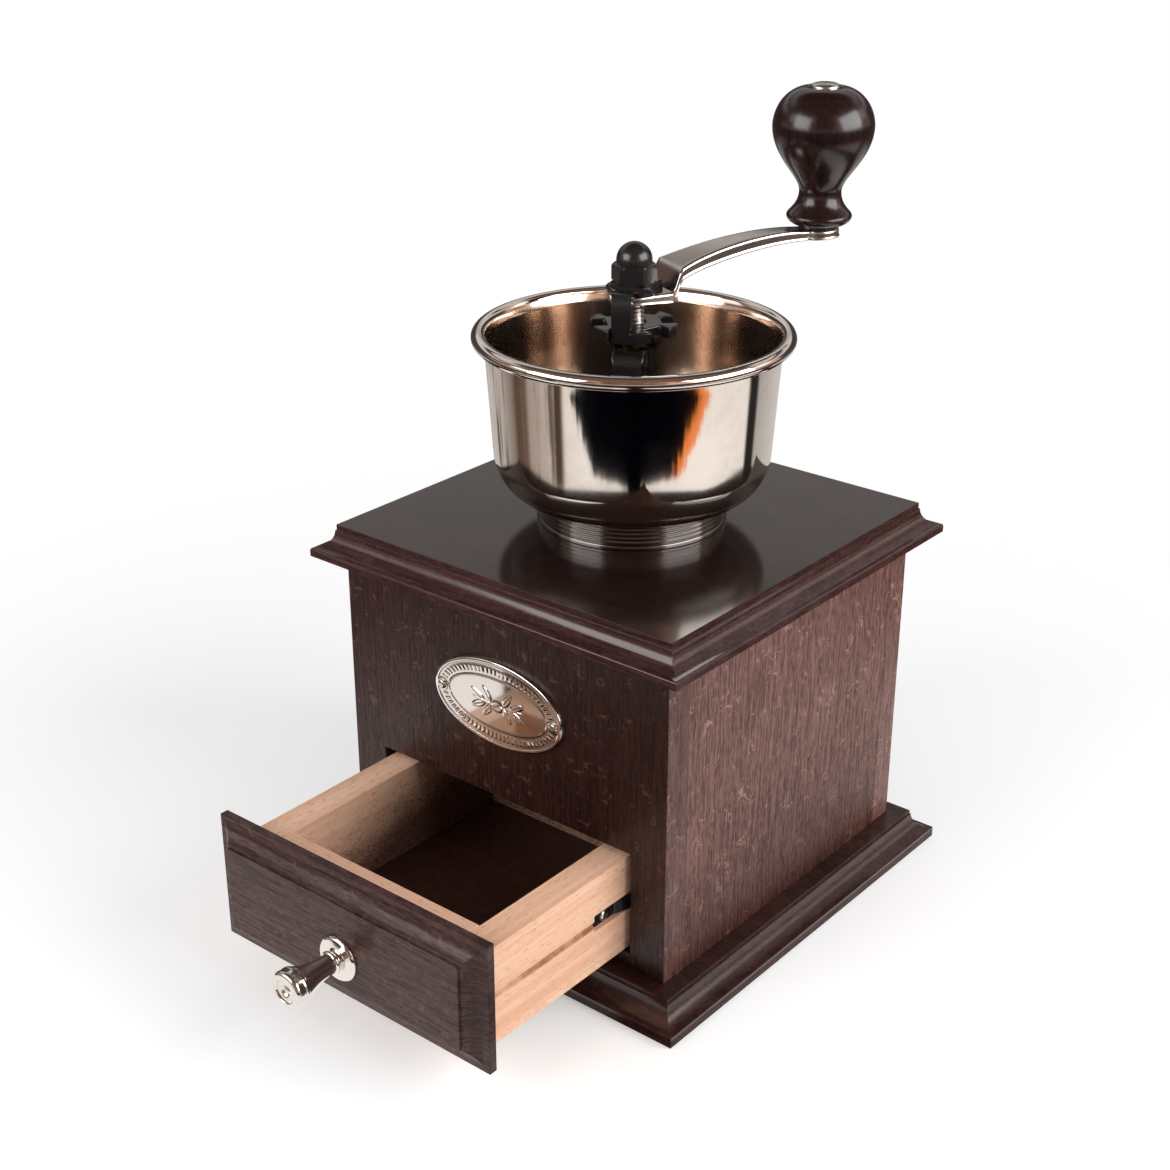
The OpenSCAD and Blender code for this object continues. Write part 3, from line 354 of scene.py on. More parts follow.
def bare_metal(name, light, dark, rough, depth, marks, patches=None, edge=None):
    """Metal without a plating. Its roughness and its finest marks follow one noise, and so does its colour,
    unless patches gives another noise and edge the range of it over which the colour turns. A noise is given
    by its scale, detail and roughness."""
    made, shader, where = material(name)
    high = noise(where, *marks)
    share = between(noise(where, *patches), *edge) if patches else high
    metal(shader, tint(share, light, dark), between(high, 0.3, 0.7, *rough), high, depth)
    return made


def oak(name, board, rough, coat=0.2, gloss=0.3, shine=0.22, depth=0.00006, ends=(), painted_shade=None, thin=()):
    """Dark stained oak under a satin lacquer. A board is the turn of its grain, its dark, light and ray
    colours as display values, how strongly the rays show and where the pattern is cut. ends gives an axis,
    its sign, a place past which another board shows, and that board. The painted shade, a darkening that
    stands in for less light, gives an axis, the two places from which and to which it fades out, and its
    share, and thin the heights between which the lacquer is rubbed down."""
    made, shader, where = material(name)
    spot = axes(where)

    def grain_of(board):
        turn, dark, light, ray, ray_share, shift = board
        along = put("Mapping", {"Vector": where, "Location": shift, "Rotation": turn}).outputs[0]
        look = {"Vector": along, "Dark": srgb(*dark), "Light": srgb(*light), "Ray": srgb(*ray),
                "Ray Share": ray_share}
        return put("Group", look, node_tree=oak_grain).outputs

    grain = grain_of(board)
    colour, height = grain["Color"], grain["Height"]
    for axis, sign, place, other in ends:
        beside = grain_of(other)
        past = between(times(spot[axis], sign), place, place + 0.00004)
        colour = tint(past, colour, beside["Color"])
        height = put("Mix", {0: past, 2: height, 3: beside["Height"]}, data_type="FLOAT").outputs[0]
    # Painted shade: the colour is darkened along one axis of the board, where less light falls on it
    if painted_shade:
        axis, start, stop, share = painted_shade
        deep = tint(share, colour, PAINTED_SHADE_TINT, "MULTIPLY")
        colour = tint(between(spot[axis], start, stop), deep, colour)
    cover = coat
    for low, high in thin:
        rubbed = band(spot[2], low, low + 0.0002, high - 0.0002, high)
        cover = times(cover, less(1.0, times(rubbed, 0.8)))
    dial(shader, {"Base Color": colour, "Roughness": calc("ADD", grain["Roughness"], rough, clamp=True),
                  "Coat Weight": cover, "Coat Roughness": gloss, "Specular IOR Level": shine})
    emboss(shader, height, depth)
    return made


# Corners nearer than DOUBLED are one, and so are faces that turn less than ONE_FACE. An edge that turns more
# than SHARP is an arris, and a lip's outer arrises lie farther out than LIP_OUT.
DOUBLED, ONE_FACE, SHARP, LIP_OUT = 2e-6, math.radians(0.4), math.radians(25), 0.058


def softened(node, body, finish, width, nose=None):
    """A cut board as its maker leaves it: the solid's own shape, its doubled corners merged, its arrises
    rounded. nose gives the height of an outer arris that is rounded more, and by how much."""
    made = add(node + "_worked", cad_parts[node].data.copy())
    shape = bmesh.new()
    shape.from_mesh(made.data)
    bmesh.ops.remove_doubles(shape, verts=shape.verts, dist=DOUBLED)
    bmesh.ops.dissolve_limit(shape, angle_limit=ONE_FACE, verts=shape.verts, edges=shape.edges)
    if nose:
        share = shape.edges.layers.float.new("bevel_weight_edge")
        for edge in shape.edges:
            sharp = len(edge.link_faces) == 2 and edge.calc_face_angle() > SHARP
            on_lip = all(abs(end.co.z - nose[0]) < 0.0001 and max(abs(end.co.x), abs(end.co.y)) > LIP_OUT
                         for end in edge.verts)
            edge[share] = sharp * (1.0 if on_lip else width / nose[1])
    shape.to_mesh(made.data)
    shape.free()
    made.data.shade_smooth()
    made.data.materials.clear()
    made.data.materials.append(finish)
    arris = made.modifiers.new("arris", "BEVEL")
    arris.width, arris.segments, arris.limit_method = (nose[1], 5, "WEIGHT") if nose else (width, 3, "ANGLE")
    arris.angle_limit = SHARP
    made.modifiers.new("flats", "WEIGHTED_NORMAL").weight = 100
    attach(made, body)
    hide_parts(node)
    return made


def dress(node, finish):
    """Gives a node that keeps its own mesh its finish."""
    skin_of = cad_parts[node].data.materials
    skin_of.clear()
    skin_of.append(finish)


LIP_ROUND = 0.0012
BASE_BOARD = (GRAIN_ACROSS, (38, 19, 16), (64, 38, 34), (88, 58, 52), 0.25, (0.2, 0.1, 0.4))
oak_base = oak("oak_base", BASE_BOARD, 0.40, coat=0.85, gloss=0.20, shine=0.06,
               thin=((-0.001, 0.0022), (0.0077, 0.0087)))
softened("base_plate", "cabinet", oak_base, 0.0003, nose=(0.00285, LIP_ROUND))
zinc = bare_metal("zinc_steel", (0.52, 0.51, 0.49, 1), (0.70, 0.69, 0.66, 1), (0.22, 0.38), 0.00001,
                  (2600.0,))
dress("base_screws", zinc)

# ---- Case ----
# Four quarter-sawn oak boards, 8 mm thick. The front and back run the full width and the sides fit between
# them. The front has the drawer's opening sawn in it. All are glued and lacquered satin.
# Besides the boards' own tones, the right board's colours are painted lighter as the side that the right soft
# box lights, and the front board's darker as the shaded side
RIGHT_BOARD_PAINTED_LIGHTER = (GRAIN_UP_SIDE, (72, 43, 38), (126, 88, 81), (168, 130, 118), 0.6, (0.11, 0.3, 0.1))
LEFT_BOARD = (GRAIN_UP_SIDE, (66, 40, 36), (114, 80, 74), (148, 112, 104), 0.6, (0.47, 0.1, 0.3))
FRONT_BOARD_PAINTED_DARKER = (GRAIN_UP, (30, 12, 9), (64, 35, 30), (112, 74, 66), 0.55, (0, 0, 0))
BACK_BOARD = (GRAIN_UP, (58, 34, 30), (104, 72, 66), (138, 102, 94), 0.5, (0.3, 0, 0.2))
CASE_SIDE = 0.05236
SIDES = ((0, 1, CASE_SIDE, RIGHT_BOARD_PAINTED_LIGHTER), (0, -1, CASE_SIDE, LEFT_BOARD))
# Painted shade: the side boards are darker towards their foot, where less light reaches them
FOOT_PAINTED_SHADE = (2, 0.002, 0.056, 1.0)
# Painted shade: the front board darkens towards its right end, and its left end stays lighter as under the
# left soft box's sheen
oak_front = oak("oak_front", FRONT_BOARD_PAINTED_DARKER, 0.44, ends=SIDES, painted_shade=(0, 0.062, -0.045, 0.6))
oak_back = oak("oak_back", BACK_BOARD, 0.44, ends=SIDES)
oak_right = oak("oak_right", RIGHT_BOARD_PAINTED_LIGHTER, 0.48, 0.10, painted_shade=FOOT_PAINTED_SHADE)
oak_left = oak("oak_left", LEFT_BOARD, 0.48, 0.10, painted_shade=FOOT_PAINTED_SHADE)
for node, finish, arris in (("front_panel", oak_front, 0.0004), ("back_panel", oak_back, 0.0004),
                            ("left_panel", oak_left, 0.00025), ("right_panel", oak_right, 0.00025)):
    softened(node, "cabinet", finish, arris)

# ---- Top plate ----
# The same moulding as the base with a thicker lip, turned over the box as a lid. It is polished a little
# finer, and the grain runs from side to side. The mill's neck comes up through a hole in its middle.
TOP_EDGE = (GRAIN_ACROSS, (44, 23, 21), (72, 45, 43), (96, 66, 62), 0.3, (0.5, 0.2, 0.7))
TOP_BOARD = (GRAIN_ACROSS, (26, 14, 12), (36, 21, 18), (50, 32, 28), 0.12, (0.5, 0.2, 0.7))
oak_top = oak("oak_top", TOP_BOARD, 0.40, coat=0.95, gloss=0.14, shine=0.04, depth=0.00002,
              ends=((2, -1, -0.1037, TOP_EDGE),), thin=((0.094, 0.0968), (0.1021, 0.1037)))
softened("top_plate", "cabinet", oak_top, 0.0003, nose=(0.09745, LIP_ROUND))

# ---- Drawer runners ----
# Two rails of L section in plain sanded beech, glued to the sides inside the case.
# The drawer's bottom slides on them.
beech_grain, got, give = node_group("beech_grain", {
    "Vector": ("Vector", None), "Dark": ("Color", (0.5, 0.3, 0.18, 1)),
    "Light": ("Color", (0.8, 0.55, 0.36, 1)), "Fleck": ("Color", (0.4, 0.22, 0.12, 1))},
    {"Color": "Color", "Height": "Float"})
drift = noise(got["Vector"], (40, 40, 6))
stripes = noise(got["Vector"], (420, 420, 9), 4.0, 0.6)
dash = between(noise(got["Vector"], (2300, 2300, 330), 1.0), 0.60, 0.70)
tone = plus(times(between(stripes, 0.3, 0.7), 0.6), times(between(drift, 0.3, 0.7), 0.4))
pale_wood = tint(tone, got["Dark"], got["Light"])
dial(give, {"Color": tint(times(dash, 0.5), pale_wood, got["Fleck"]),
            "Height": less(times(stripes, 0.5), dash)})

BEECH = {"Dark": srgb(228, 174, 141), "Light": srgb(249, 207, 178), "Fleck": srgb(190, 133, 98)}
COFFEE_AND_SHADE, WET_GROUNDS, DRY_GROUNDS = (0.055, 0.022, 0.014, 1), srgb(14, 6, 4), srgb(74, 42, 28)
SCRIBE_BROWN = srgb(150, 96, 66)
# The drawer's inner faces in x and y, its outer face in x, and the height of its scribed line
INNER_X, INNER_Y = (0.0322, 0.0316), (-0.0960, -0.0955, -0.0217, -0.0211)
OUTER_X, SCRIBED_Z = (0.0393, 0.0394), 0.0266


def beech(name, turn, shift=(0, 0, 0), stain_and_shade_top=None, stain_and_shade_share=1.0):
    """Plain sanded beech. Below a given top height in metres, which grows towards the case, the inside is
    darkened in soft-edged blots, partly by coffee stain and partly by painted shade that climbs higher deeper
    in the drawer. A soft brown band is painted along a line scribed on the outside."""
    made, shader, where = material(name)
    along = put("Mapping", {"Vector": where, "Location": shift, "Rotation": turn}).outputs[0]
    grain = put("Group", {"Vector": along, **BEECH}, node_tree=beech_grain).outputs
    colour = grain["Color"]
    if stain_and_shade_top is not None:
        x, y, z = axes(where)
        out = calc("ABSOLUTE", x)
        blot = noise(where, 70.0, 5.0, 0.65)
        # Painted shade: the darkened band climbs higher towards the case, where the inside lies deeper in
        # shade
        rise = between(y, -0.092, -0.040, 0.0, 0.014)
        edge = plus(less(z, rise), times(less(blot, 0.5), 0.010))
        stain_and_shade = between(edge, stain_and_shade_top + 0.014, stain_and_shade_top - 0.012)
        stain_and_shade = times(stain_and_shade, between(out, *INNER_X), band(y, *INNER_Y), stain_and_shade_share)
        colour = tint(stain_and_shade, colour, tint(1.0, colour, COFFEE_AND_SHADE, "MULTIPLY"))
        dust = noise(where, 1500.0, 3.0, 0.7)
        colour = tint(times(between(dust, 0.50, 0.62), stain_and_shade), colour, WET_GROUNDS)
        colour = tint(times(between(dust, 0.36, 0.30), stain_and_shade), colour, DRY_GROUNDS)
        # A soft brown band painted along the scribed line outside
        on_line = between(calc("ABSOLUTE", less(z, SCRIBED_Z)), 0.0011, 0.0005)
        scribe_brown = times(on_line, between(out, *OUTER_X), between(y, -0.0630, -0.0640),
                       between(blot, 0.30, 0.62))
        colour = tint(scribe_brown, colour, SCRIBE_BROWN)
    dial(shader, {"Base Color": colour, "Roughness": between(grain["Height"], 0.0, 0.5, 0.62, 0.52)})
    emboss(shader, grain["Height"], 0.00004)
    return made


beech_rail = beech("beech_rail", GRAIN_BACK)
for node in ("left_runner", "right_runner"):
    softened(node, "cabinet", beech_rail, 0.0003)


# ---- Badge ----
# An oval plate stamped in nickel-plated brass: a raised rim, a band of beads, a fine line and a sprig of
# leaves. The ground between them is a shade duller. Two round-headed pins hold it to the front board.
SEAM = 1e-7


def skin(grid, loop_rows=False, crease=35):
    """Closes a grid of points, given as rows by columns by xyz, into a mesh of quads. Columns always loop. A
    row whose points all meet becomes a pole. Points within SEAM of each other are merged and the faces turned
    outwards."""
    rows, columns = grid.shape[:2]
    row = np.arange(rows if loop_rows else rows - 1)[:, None]
    column = np.arange(columns)[None, :]
    next_row, next_column = (row + 1) % rows, (column + 1) % columns
    quads = np.stack([row * columns + column, row * columns + next_column,
                      next_row * columns + next_column, next_row * columns + column], -1).reshape(-1, 4)
    mesh = bpy.data.meshes.new("skin")
    mesh.from_pydata(grid.reshape(-1, 3), [], quads.tolist())
    shape = bmesh.new()
    shape.from_mesh(mesh)
    bmesh.ops.remove_doubles(shape, verts=shape.verts, dist=SEAM)
    bmesh.ops.dissolve_degenerate(shape, edges=shape.edges, dist=SEAM)
    bmesh.ops.recalc_face_normals(shape, faces=shape.faces)
    shape.to_mesh(mesh)
    shape.free()
    mesh.shade_smooth()
    mesh.set_sharp_from_angle(angle=math.radians(crease))
    return mesh


def piece(name, mesh, finish, body, slot, *nodes):
    """Puts a finished mesh in the scene, on its body, in the place of its nodes."""
    mesh.name = name
    mesh.materials.append(finish)
    made = add(name, mesh)
    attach(made, body)
    if nodes:
        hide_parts(*nodes)
    flats = made.modifiers.new("flats", "WEIGHTED_NORMAL")
    flats.weight, flats.keep_sharp = 100, True
    return made


def ease(value, low, high):
    """0 below low, 1 above high and a smooth S between them."""
    t = np.clip((value - low) / (high - low), 0, 1)
    return t * t * (3 - 2 * t)


def circle(steps):
    """Angles spaced evenly round a circle."""
    return np.arange(steps) * 2 * np.pi / steps


# Millimetres: the oval's half axes, its thickness, the depth of its relief, its middle's height, the case's
# front face and how far out its pins stand
BADGE_A, BADGE_B, BADGE_T, BADGE_DEEP, BADGE_Z, CASE_FRONT, PIN_X = 21, 11.7, 1.3, 0.16, 69.3, -52.5, 18.48
# The number of beads, half a leaf's width, and for each leaf its middle, its lean in degrees and its half
# length
BEADS, LEAF_HALF = 66, 0.95
LEAVES = [(-6.4, 1.1, 150, 2.7), (-6.2, -1.4, 205, 2.7), (-3.2, 2.0, 128, 2.7), (-3.0, -2.2, 228, 2.6),
          (0.2, 3.0, 96, 2.4), (3.2, 2.0, 52, 2.7), (3.0, -2.2, -48, 2.6), (6.4, 1.1, 30, 2.7),
          (6.2, -1.4, -25, 2.7)]


def badge_relief():
    """Rows step in from the rim to the middle: first rings a constant distance inside the oval, then ovals
    shrunk to a point. The height is a rim, a band of beads that follow the angle, a line, and the sum of the
    sprig's leaves."""
    turn = circle(432)
    inset = np.concatenate([[0, 0, 0.12, 0.3], np.arange(0.5, 5.3, 0.16)])
    shrink = np.linspace(1, 0, 72)[1:]
    half_a = np.concatenate([BADGE_A - inset, (BADGE_A - inset[-1]) * shrink])
    half_b = np.concatenate([BADGE_B - inset, (BADGE_B - inset[-1]) * shrink])
    depth = np.concatenate([inset, inset[-1] + (BADGE_B - inset[-1]) * (1 - shrink)])[:, None]
    x, z = half_a[:, None] * np.cos(turn), half_b[:, None] * np.sin(turn)
    walk = np.cumsum(np.hypot(np.diff(np.append(x[8], x[8, 0])), np.diff(np.append(z[8], z[8, 0]))))
    lap = np.concatenate([[0], walk[:-1]]) / walk[-1]
    rim = ease(depth, 0.0, 0.25) * (1 - ease(depth, 0.85, 1.15))
    bead = ease(np.cos(lap * 2 * np.pi * BEADS), 0.0, 0.5)
    bead = bead * ease(depth, 1.9, 2.2) * (1 - ease(depth, 3.4, 3.7))
    line = ease(depth, 4.45, 4.6) * (1 - ease(depth, 4.85, 5.0))
    leaves = np.zeros_like(x)
    for leaf_x, leaf_z, lean, long in LEAVES:
        lean = np.radians(lean)
        along = (x - leaf_x) * np.cos(lean) + (z - leaf_z) * np.sin(lean)
        over = -(x - leaf_x) * np.sin(lean) + (z - leaf_z) * np.cos(lean)
        taper = np.clip(1.15 - 0.35 * along / long, 0.3, None)
        body = 1 - (along / long) ** 2 - (over / LEAF_HALF) ** 2 / taper
        leaves = np.maximum(leaves, ease(body, 0.0, 0.5) * (0.62 + 0.38 * ease(np.abs(over), 0.08, 0.22)))
    out = np.abs(x)
    stem = ease(1 - np.abs(z + 0.15 + 0.3 * np.cos(x * 0.45)) / 0.28, 0, 0.5) * ease(8.2 - out, 0, 0.4)
    bean = 1 - (x / 2.5) ** 2 - ((z + 0.4) / 1.75) ** 2
    split = np.abs(z + 0.4 - 0.45 * np.sin(x * 1.25))
    bean = ease(bean, 0.0, 0.7) * (0.35 + 0.65 * ease(split, 0.1, 0.35))
    pads = ease(1.9 - np.hypot(out - PIN_X, z), 0.0, 0.3)
    sprig = np.maximum.reduce([leaves * ease(out, 1.6, 2.4), stem * ease(out, 2.2, 2.7), bean])
    relief = np.maximum.reduce([rim + 0 * x, 0.75 * bead * (1 - pads), 0.7 * line + 0 * x, sprig, 0.8 * pads])
    relief[-1] = relief[-1].mean()
    raised = BADGE_T - BADGE_DEEP + relief * BADGE_DEEP
    raised[0] = 0
    raised[1] = BADGE_T - BADGE_DEEP - 0.05
    face = np.stack([x, CASE_FRONT - raised, z + BADGE_Z], -1)
    back = np.repeat([[[0, CASE_FRONT, BADGE_Z]]], len(turn), 1)
    return np.concatenate([back, face]) * MM


plated_wear, got, give = node_group(
    "plated_wear", {"Vector": ("Vector", None), "Polish": ("Float", 0.08), "Spread": ("Float", 0.06)},
    {"Roughness": "Float", "Height": "Float", "Haze": "Float"})
haze = between(noise(got["Vector"], 38.0, 5.0, 0.7), 0.42, 0.74)
fine = noise(got["Vector"], (1900, 1900, 420), 3.0)
wear = times(plus(times(haze, 0.7), times(fine, 0.3)), got["Spread"])
dial(give, {"Roughness": plus(got["Polish"], wear), "Height": fine, "Haze": haze})
SCRATCH = 0.0000015


def plating(where, polish, spread):
    """Nickel plate hazed in soft clouds and scratched very finely. polish is its least roughness, and spread
    how much rougher the haze makes it."""
    return put("Group", {"Vector": where, "Polish": polish, "Spread": spread}, node_tree=plated_wear).outputs


def nickel(name, light, dull, polish, spread, depth=SCRATCH):
    """Plated metal that goes from its light colour to its dull one where it is hazed."""
    made, shader, where = material(name)
    wear = plating(where, polish, spread)
    metal(shader, tint(wear["Haze"], light, dull), wear["Roughness"], wear["Height"], depth)
    return made


badge_metal, shader, where = material("badge_nickel")
raised_from = (CASE_FRONT - BADGE_T) * MM
ground = between(axes(where)[1], raised_from + 0.03 * MM, raised_from + 0.13 * MM)
metal(shader, tint(ground, (0.86, 0.845, 0.82, 1), (0.74, 0.71, 0.68, 1)),
      between(ground, 0.0, 1.0, 0.05, 0.07), plating(where, 0.05, 0.06)["Height"], SCRATCH)
piece("badge_plate", skin(badge_relief(), crease=60), badge_metal, "cabinet", "nickel", "badge")


def lathe(profile, turns=96, foot=(0, 0, 0), axis="Z", crease=35):
    """Turned piece. The profile is a closed or pole-ended line of radius and height in millimetres, and each
    point is carried round as (r cos a, r sin a, h) from the foot. The axis names the way that heights run."""
    radius, height = np.asarray(profile, float).T * MM
    across, over = radius[:, None] * np.cos(circle(turns)), radius[:, None] * np.sin(circle(turns))
    tall = np.broadcast_to(height[:, None], across.shape)
    laid = {"Z": [across, over, tall], "-Y": [across, -tall, over], "X": [tall, across, over],
            "-X": [-tall, across, over]}
    return skin(np.stack(laid[axis], -1) + np.asarray(foot, float) * MM, loop_rows=True, crease=crease)


def eased(corners, reach, steps=4):
    """Rounds the corners of a closed line: each becomes a parabola that starts and ends a reach along its two
    sides."""
    at = np.asarray(corners, float)
    before, after = np.roll(at, 1, 0) - at, np.roll(at, -1, 0) - at
    span_in, span_out = np.linalg.norm(before, axis=1), np.linalg.norm(after, axis=1)
    cut = np.minimum(np.broadcast_to(np.asarray(reach, float), span_in.shape),
                     0.45 * np.minimum(span_in, span_out))
    start = at + before * (cut / np.maximum(span_in, 1e-9))[:, None]
    end = at + after * (cut / np.maximum(span_out, 1e-9))[:, None]
    t = np.linspace(0, 1, steps + 1)[None, :, None]
    curve = (1 - t) ** 2 * start[:, None] + 2 * t * (1 - t) * at[:, None] + t * t * end[:, None]
    return curve.reshape(-1, at.shape[1])


steel_bright = nickel("bright_steel", (0.72, 0.71, 0.69, 1), (0.58, 0.57, 0.55, 1), 0.16, 0.16)
pin_head = eased([[0, -4.9], [0.9, -4.9], [0.9, 1.3], [1.3, 1.3], [1.3, 1.5], [1.1, 1.8], [0.7, 1.95],
                  [0, 1.95]],
                 [0, 0.1, 0, 0.05, 0.2, 0.2, 0.2, 0])
for side, label, nodes in ((-PIN_X, "left", ["badge_pins"]), (PIN_X, "right", [])):
    piece("badge_pin_" + label, lathe(pin_head, 24, (side, CASE_FRONT, BADGE_Z), "-Y"), steel_bright,
          "cabinet", "steel", *nodes)

# ---- Mill ----
# A grey iron housing hangs under the top plate by its flange and its neck comes up through it. The machined
# outer burr is pressed into it, and a bridge with a bronze bush is screwed across underneath.
iron = bare_metal("cast_iron", (0.13, 0.125, 0.12, 1), (0.20, 0.175, 0.155, 1), (0.42, 0.62), 0.00012,
                  (900.0, 4.0, 0.7), (60.0, 3.0), (0.35, 0.7))
burr_steel = bare_metal("burr_iron", (0.30, 0.29, 0.28, 1), (0.19, 0.165, 0.14, 1), (0.26, 0.44), 0.00002,
                        ((120, 120, 3200),), (160.0, 3.0), (0.35, 0.65))
bronze = bare_metal("bearing_bronze", (0.42, 0.27, 0.11, 1), (0.60, 0.42, 0.20, 1), (0.24, 0.40), 0.00001,
                    ((90, 90, 2600),))
for node, finish in (("mill_housing", iron), ("lower_bridge", iron), ("outer_burr", burr_steel),
                     ("lower_bush", bronze), ("lower_bridge_screws", zinc)):
    dress(node, finish)

# ---- Hopper ----
# A deep bowl spun from nickel-plated sheet, with its rim rolled over into a bead. It sits on a plated collar
# turned with four fine rings, and two screws go through its floor and the top plate into the mill's flange.

# Millimetres: the mouth over the mill, the bowl's floor and its thickness, the bend's radius, its centre's
# radius and the angle at which it meets the wall, then the wall's outer and inner ends as radius and height,
# the wall's slope, how far inside its outer face the film starts, and the bead's radius and centre
THROAT_R, BOWL_Z, SHEET, BEND, BEND_R, BEND_END = 14, 110.3, 1, 12, 23.69, -3.7
OUTER_FOOT, OUTER_TOP, INNER_FOOT, INNER_TOP = [35.85, 124.3], [37.55, 150.4], [34.86, 124.3], [36.58, 150.6]
WALL_SLOPE, FILM_DEPTH = 0.0651, 0.5
BEAD, BEAD_AT = 1.75, (39.05, 152.3)
NICKEL, HAZY_NICKEL, OILY_NICKEL = (0.86, 0.81, 0.76, 1), (0.74, 0.69, 0.64, 1), (0.71, 0.612, 0.53, 1)


def sweep(centre, radius, start, end, steps):
    """Points of a circular arc from one angle to another, in degrees."""
    angle = np.radians(np.linspace(start, end, steps))
    return np.stack([centre[0] + radius * np.cos(angle), centre[1] + radius * np.sin(angle)], 1)


def cubic(a, b, c, d, steps):
    """Points of a cubic curve between a and d, pulled towards b and c."""
    t = np.linspace(0, 1, steps)[:, None]
    a, b, c, d = (np.asarray(p, float) for p in (a, b, c, d))
    return a * (1 - t) ** 3 + 3 * b * t * (1 - t) ** 2 + 3 * c * t * t * (1 - t) + d * t ** 3


bend_at = (BEND_R, BOWL_Z + BEND)
bowl_line = np.concatenate([
    [[THROAT_R, BOWL_Z]], sweep(bend_at, BEND, -90, BEND_END, 22),
    np.linspace(OUTER_FOOT, OUTER_TOP, 10), [[37.66, 151.0]], sweep(BEAD_AT, BEAD, 215, 450, 26),
    cubic([38.45, 154.05], [37.3, 154.05], [37.0, 152.6], INNER_TOP, 16)[1:],
    np.linspace(INNER_TOP, INNER_FOOT, 10)[1:], sweep(bend_at, BEND - SHEET, BEND_END, -90, 22),
    [[THROAT_R, BOWL_Z + SHEET]]])
bowl_skin = lathe(bowl_line, 192, crease=50)


def within(mesh):
    """The share of coffee's oily film at each point: none outside, full where the point lies nearer to the
    axis than the middle of the wall, whose radius follows the bend's circle and then the straight side."""
    place = np.empty(len(mesh.vertices) * 3)
    mesh.vertices.foreach_get("co", place)
    x, y, z = place.reshape(-1, 3).T / MM
    radius, above = np.hypot(x, y), z - BOWL_Z - BEND
    side = OUTER_FOOT[0] + (z - OUTER_FOOT[1]) * WALL_SLOPE - radius
    bend = BEND - np.hypot(np.maximum(radius - BEND_R, 0), above)
    return np.where(above > 0, side, bend) > FILM_DEPTH


film_share = bowl_skin.attributes.new("coffee_film", "FLOAT", "POINT")
film_share.data.foreach_set("value", within(bowl_skin).astype(np.float32))
bowl_metal, shader, where = material("bowl_nickel")
wear = plating(where, 0.045, 0.05)
smear = between(noise(where, (90, 90, 12), 4.0, 0.6), 0.25, 0.70, 0.72, 1.0)
film = times(put("Attribute", {}, shader.id_data, attribute_name="coffee_film").outputs["Fac"], smear)
clean = tint(wear["Haze"], NICKEL, HAZY_NICKEL)
metal(shader, tint(film, clean, OILY_NICKEL), plus(wear["Roughness"], times(film, 0.07)),
      wear["Height"], SCRATCH)
piece("spun_bowl", bowl_skin, bowl_metal, "cabinet", "nickel", "hopper_bowl")

COLLAR_IN, RING_FROM, RING_TO, RING_STEP = 22.5, 105.2, 109.6, 1.1
RING_DEEP, RING_R, TAPER = 0.045, 24.45, 0.06
ring_z = np.linspace(RING_FROM, RING_TO, 61)
above = ring_z - RING_FROM
ring_r = RING_R - TAPER * above + RING_DEEP * np.sin(np.pi * above / RING_STEP) ** 2
collar_line = np.concatenate([
    [[COLLAR_IN, 103.8], [24.55, 103.8], [24.7, 103.95], [24.7, 104.6], [24.6, 104.85], [RING_R, 104.95]],
    np.stack([ring_r, ring_z], 1), [[23.6, 110.0], [COLLAR_IN, 110.2]]])
# Painted shade: the collar's plating gets a colour far darker than nickel, standing in for the dark top plate
# that it mirrors
collar_metal_painted_dark = nickel("collar_nickel_painted_shade", (0.23, 0.205, 0.195, 1), (0.15, 0.13, 0.12, 1), 0.12, 0.08)
piece("turned_collar", lathe(collar_line, 160), collar_metal_painted_dark, "cabinet", "nickel", "bowl_collar")

# ---- Bearing arch ----
# A steel strap bent over the mill's mouth and enamelled black. It carries a bronze bush that the shaft runs
# in, and a slotted screw holds each of its feet to the bowl's floor.
ARCH_TURN, ARCH_W, LEG_W, ARCH_T, ARCH_SCREW_R = math.radians(-62), 8.0, 5.4, 1.8, 20.2


def black_enamel(name, rough=0.22):
    """Black stove enamel on steel: a deep gloss with a faint orange-peel, greyed where it has been
    handled."""
    made, shader, where = material(name)
    rub = between(noise(where, 180.0, 5.0, 0.7), 0.62, 0.80)
    dial(shader, {
        "Base Color": tint(times(rub, 0.35), (0.010, 0.0095, 0.010, 1), (0.16, 0.155, 0.15, 1)),
        "Roughness": plus(rough, times(rub, 0.25)), "Coat Weight": 0.5, "Coat Roughness": 0.12})
    emboss(shader, noise(where, 520.0), 0.00003)
    return made


def spun(x, y, angle):
    """A point's x and y after a turn about the origin."""
    return x * math.cos(angle) - y * math.sin(angle), x * math.sin(angle) + y * math.cos(angle)


def capped(tube):
    """Closes both ends of a tube of rows with a point in their middle."""
    first, last = (np.broadcast_to(tube[k].mean(0), tube[k].shape)[None] for k in (0, -1))
    return np.concatenate([first, tube, last])


